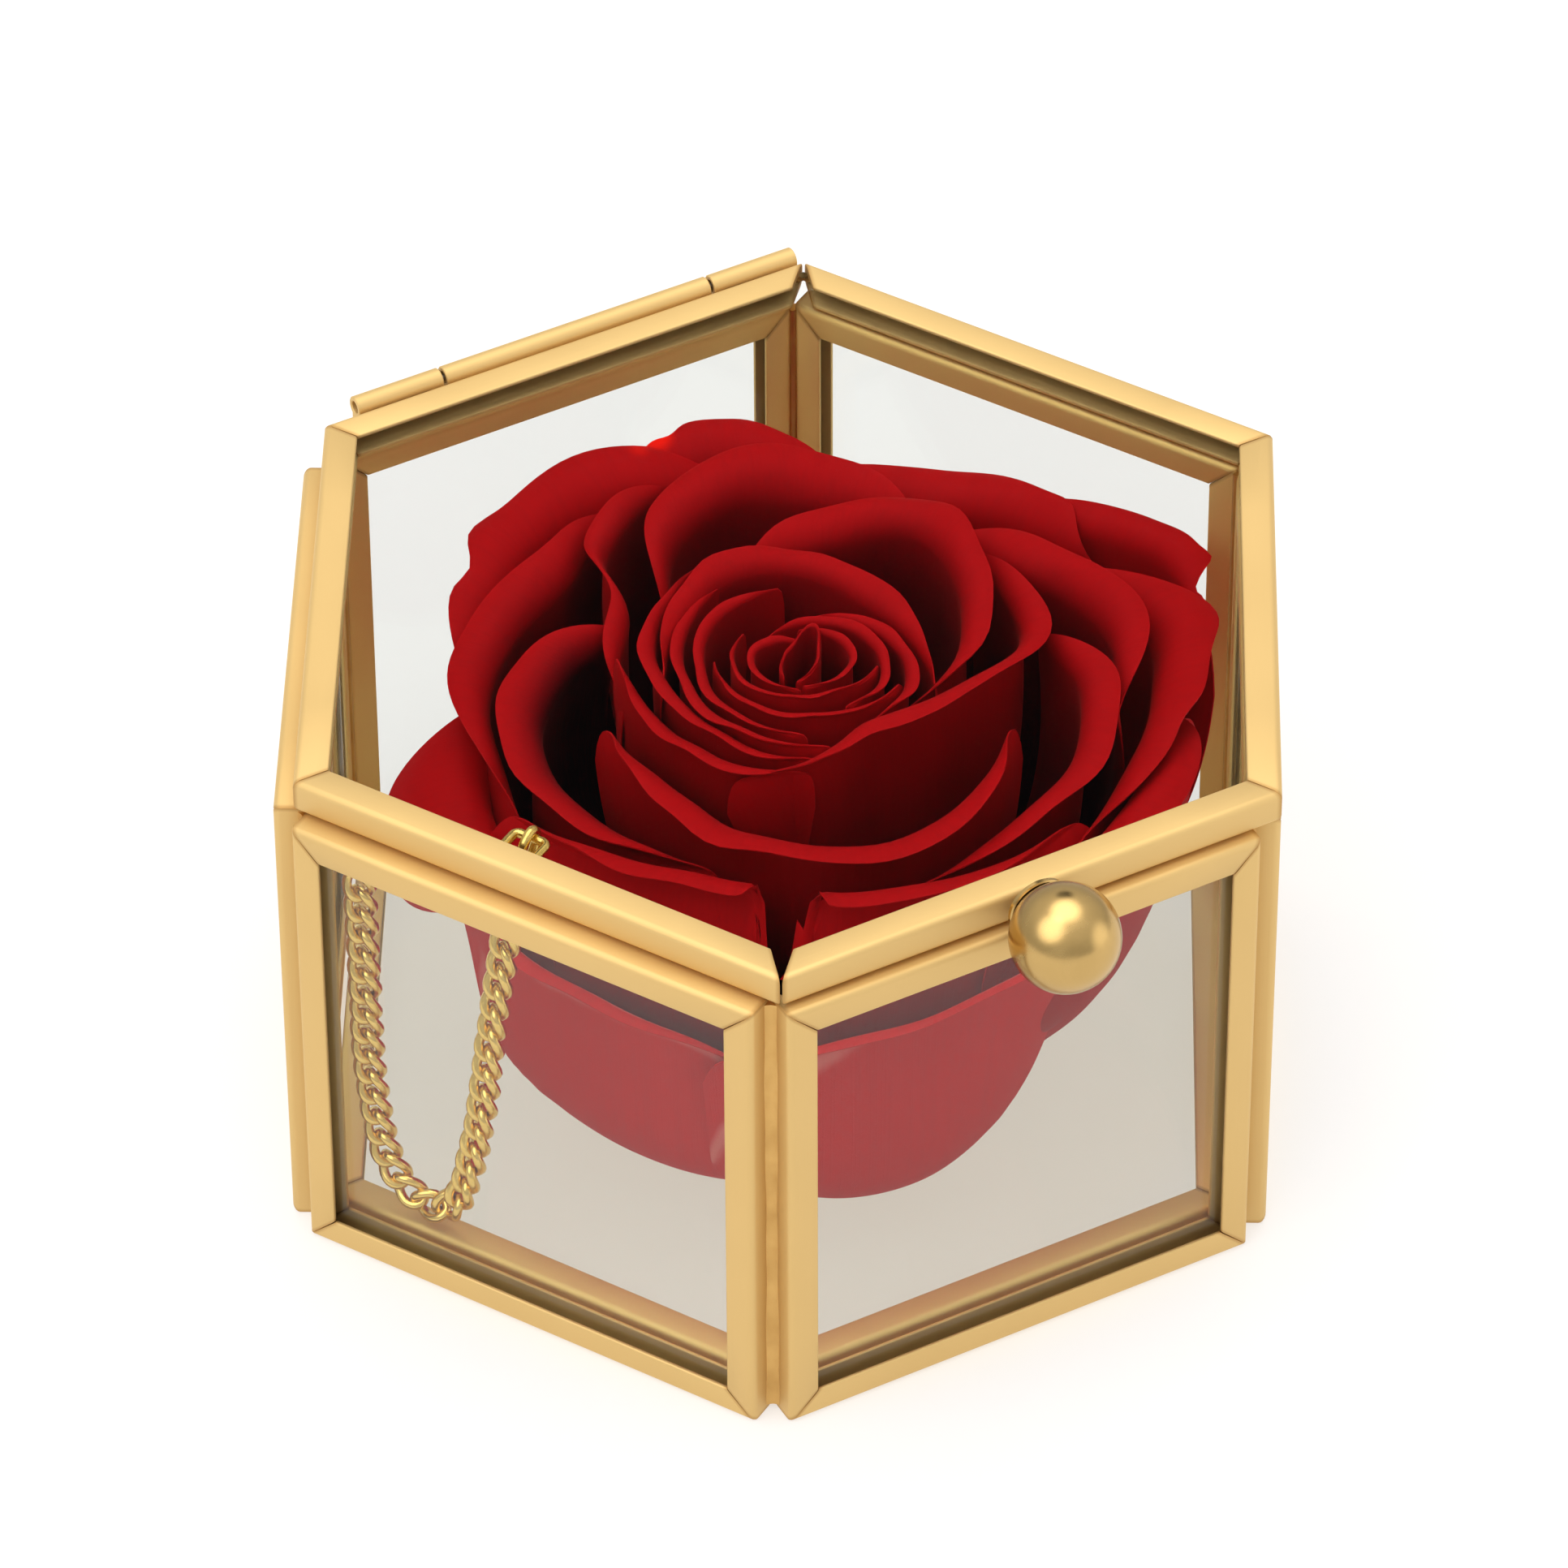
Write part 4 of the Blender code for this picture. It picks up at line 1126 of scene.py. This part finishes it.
def eased(value):
    """0 up to 0, 1 from 1 on, and smooth between."""
    value = np.clip(value, 0, 1)
    return value * value * (3 - 2 * value)


def petal_face(name, across, rows):
    """The inner face of a petal as an array of places: across its width by rows from claw to rim."""
    lip, azimuths, radii, heights = PETALS[name]
    azimuths = np.degrees(np.unwrap(np.radians(azimuths)))
    chance = np.random.default_rng(sum(ord(letter) * (k + 3) for k, letter in enumerate(name)))
    phases = chance.uniform(0, 2 * math.pi, 5)
    wide, tall = np.meshgrid(across, rows, indexing="ij")
    crest = 1 - EDGE_FALL * wide ** 4
    for middle, width, depth in NICKS.get(name, ()):
        crest = crest - depth * np.exp(-((wide - middle) / width) ** 2)
    t = tall * crest
    opened = eased(t / OPEN_BY)
    narrow = LOW_NARROW if min(radii) < OUTER_RADIUS else 0.0
    u = wide * (1 + EDGE_REACH) * (1 - narrow * (1 - opened))
    azimuth = np.radians(smooth_run(azimuths, u))
    radius = smooth_run(radii, u)
    turned_out = lip * (1 - LIP_EASE * np.abs(wide) ** 4)
    roll = turned_out / (1 - math.cos(ROLL_TURN))
    stem = radius - turned_out
    foot = smooth_run(heights, u) - roll
    share = radius / BLOOM_RADIUS
    claw, reach, *low = [a + (b - a) * share for a, b in zip(MIDDLE_LINE, BLOOM_LINE)]
    hips = radius * reach
    chest = stem + CHEST_OUT * turned_out + BULGES.get(name, 0.0)
    if name in BELLIES:
        belly = smooth_run(BELLIES[name], u)
        hips, chest = BELLY_HIPS * belly, BELLY_CHEST * belly - BELLY_CHEST_IN
        low = BELLY_LOW
    left = 1 - np.clip(t / ROLL_START, 0, 1)
    rise = 1 - left * (FLAT_FOOT + (1 - FLAT_FOOT) * left)
    bend = ROLL_TURN * np.clip((t - ROLL_START) / (1 - ROLL_START), 0, 1.2)
    droop = DROOPS.get(name, 0.0)
    out = bezier((claw, hips, chest, stem), rise) + roll * (1 - np.cos(bend))
    up = bezier((*low, foot + droop), rise) + roll * np.sin(bend) - droop * (bend / ROLL_TURN) ** 1.5
    size = np.clip(radius / 20, 0.1, 1)
    sway = np.sin(5 * azimuth + phases[0]) + 0.6 * np.sin(9 * azimuth + phases[1])
    sway = sway + 0.35 * size * np.sin(17 * azimuth + 3 * t + phases[2])
    lift = np.sin(6 * azimuth + phases[3]) + 0.5 * size * np.sin(14 * azimuth + phases[4])
    out += WAVE_OUT * size * sway * t ** 3
    up += WAVE_UP * size * t ** 5 * lift
    x = ROSE_MIDDLE[0] + out * np.cos(azimuth)
    y = ROSE_MIDDLE[1] + out * np.sin(azimuth)
    return np.stack([x, y, up], axis=-1)


def petal_sheet(name):
    """Points, faces and UVs of a closed thin petal: two faces and its edge, thinnest along the rim."""
    azimuths, radii = PETALS[name][1:3]
    columns, lines = SMALL_GRID if radii[2] < SMALL_RADIUS else WIDE_GRID
    if name == "guard_front":
        columns, lines = TORN_GRID
    across = -np.cos(math.pi * np.arange(columns + 1) / columns) * EDGE_CROWDING
    across = across + np.linspace(-1, 1, columns + 1) * (1 - EDGE_CROWDING)
    rows = 1 - (1 - np.linspace(0, 1, lines + 1)) ** 1.5
    inner = petal_face(name, across, rows)
    if (azimuths[3] - azimuths[2] + 180) % 360 < 180:
        inner = inner[::-1]
    normal = np.cross(np.gradient(inner, axis=0), np.gradient(inner, axis=1))
    normal /= np.maximum(np.linalg.norm(normal, axis=-1, keepdims=True), 1e-9)
    wide, tall = np.meshgrid(across, rows, indexing="ij")
    near_rim = eased((tall - THIN_RIM_FROM) / (1 - THIN_RIM_FROM))
    near_side = eased((np.abs(wide) - THIN_SIDE_FROM) / (1 - THIN_SIDE_FROM))
    body = PETAL_BODY + (PETAL_RIM - PETAL_BODY) * np.maximum(near_rim, near_side)
    outer = inner + normal * body[..., None]
    width, height = columns + 1, lines + 1
    count = width * height
    points = np.concatenate([inner.reshape(-1, 3), outer.reshape(-1, 3)])
    # Painted shade: the second UV number is 1 at the rim and falls towards the claw, less on the back, and
    # the red darkens with it.
    deep = SHADE_DEPTHS.get(name, OUTER_SHADE_DEPTH if min(radii) > OUTER_RADIUS else INNER_SHADE_DEPTH)
    below_rim = 1 - tall.ravel()
    inside = np.stack([wide.ravel(), 1 - below_rim * deep], axis=-1)
    outside = np.stack([wide.ravel(), 1 - below_rim * min(deep * BACK_SHADE_SHARE, BACK_SHADE_MOST)], axis=-1)
    faces = []
    for i in range(columns):
        for j in range(lines):
            a = i * height + j
            faces.append((a, a + 1, a + height + 1, a + height))
            faces.append((count + a, count + a + height, count + a + height + 1, count + a + 1))
    loop = list(range(height))
    loop += [i * height + lines for i in range(1, width)]
    loop += [columns * height + j for j in range(lines - 1, -1, -1)]
    loop += [i * height for i in range(columns - 1, 0, -1)]
    for k, a in enumerate(loop):
        b = loop[(k + 1) % len(loop)]
        faces.append((a, count + a, count + b, b))
    return points, faces, {"petal": np.concatenate([inside, outside])}


# The lowest petals, lit from below: painted a brighter red, with a painted pale highlight along a fold near
# the rim.
LIT_UNDER_PETALS = ("under_left", "under_right")
# The middle and the radius of each clear spot, a thin place in the petal; the light coming through it is
# painted in as a brighter red.
CLEAR_SPOTS = (((5.6, 32.3, 40.0), 2.0), ((3.2, 31.3, 39.4), 1.7), ((-21.1, 20.8, 36.0), 1.4))
SHEEN_RED = (1.0, 0.10, 0.08, 1.0)
HOLLOW_SHADE_RED = (0.015, 0.0005, 0.003, 1)
OPEN_RED = (0.46, 0.0008, 0.0028, 1)
LIT_UNDER_RED = (0.62, 0.0008, 0.0028, 1)
VEIN_RED = (0.15, 0.0005, 0.002, 1)
RIM_HIGHLIGHT_RED = (0.52, 0.004, 0.006, 1)
FOLD_HIGHLIGHT_PINK = (0.80, 0.30, 0.26, 1)
LIGHT_THROUGH_RED = (1.0, 0.008, 0.001, 1)


def velvet_red(name, lit_under):
    """Deep velvet red with fine veins from the claw, painted shade into the hollows, painted highlights on
    the rims and in a few clear spots; on the lowest petals, a brighter painted red and a pale painted
    highlight along a fold.
    """
    red, shader, place = new_finish(
        name, IOR=1.4, Specular_IOR_Level=0.12, Sheen_Weight=0.12, Sheen_Roughness=0.4, Sheen_Tint=SHEEN_RED
    )
    sheet = place.node("UVMap", {"uv_map": "petal"}, {})
    wide = sheet.part("X")
    tall = sheet.part("Y")
    clouds = place.noise(90.0, 2.0)
    cells = place.noise(4200.0, 0.0)
    fan = place.node("CombineXYZ", {}, {"X": wide * 16.0, "Y": tall * 1.6, "Z": clouds * 0.8})
    veins = abs(fan.noise(2.4, 1.0) - 0.5) * 2.0
    vein = 1 - veins.within(0.0, 0.16)
    # Painted shade: the red runs from rim red down to near black in the hollows.
    bright = (tall + (clouds - 0.5) * 0.25 + (cells - 0.5) * 0.05).within(0.16, 0.98)
    # On the lowest petals the red is painted brighter for the light they get from below.
    body = bright.tinted(HOLLOW_SHADE_RED, LIT_UNDER_RED if lit_under else OPEN_RED)
    lined = (vein * 0.08).tinted(body, VEIN_RED)
    # Painted highlight: a thin band of lighter red along each rim.
    rim_lit = (tall.within(0.975, 1.0) * 0.3).tinted(lined, RIM_HIGHLIGHT_RED)
    # Painted highlight: a pale pink band along a fold near the rim.
    if lit_under:
        line = abs(tall - 0.962 - wide * 0.012 + (clouds - 0.5) * 0.05)
        fold_highlight = (1 - line.within(0.0008, 0.0110)) * clouds.within(0.35, 0.60)
        rim_lit = (fold_highlight * 0.5).tinted(rim_lit, FOLD_HIGHLIGHT_PINK)
    # Clear spots are real thin places; their glow is painted light coming through the petal.
    clear = 0.0
    for spot, size in CLEAR_SPOTS:
        far = place.node("VectorMath", {"operation": "DISTANCE"}, {0: place, 1: on_table(spot)}, "Value")
        clear = clear + (1 - far.within(0.3 * size * MM, size * MM))
    clear.tinted(rim_lit, LIGHT_THROUGH_RED).feed(shader, "Base Color")
    (0.62 + clouds * 0.16).feed(shader, "Roughness")
    (cells * 0.10 + vein * 0.10 + clouds * 0.80).bump(0.28, 0.12).feed(shader, "Normal")
    return red


velvet = velvet_red("velvet_red", False)
lit_under_velvet = velvet_red("lit_under_red", True)
for name in PETALS:
    points, faces, layers = petal_sheet(name)
    finish = lit_under_velvet if name in LIT_UNDER_PETALS else velvet
    petal = add_piece(
        f"{name}_petal", points, faces, finish, "box", sharp=PETAL_SHARP, layers=layers
    )
    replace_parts(petal, f"petal_{name}")
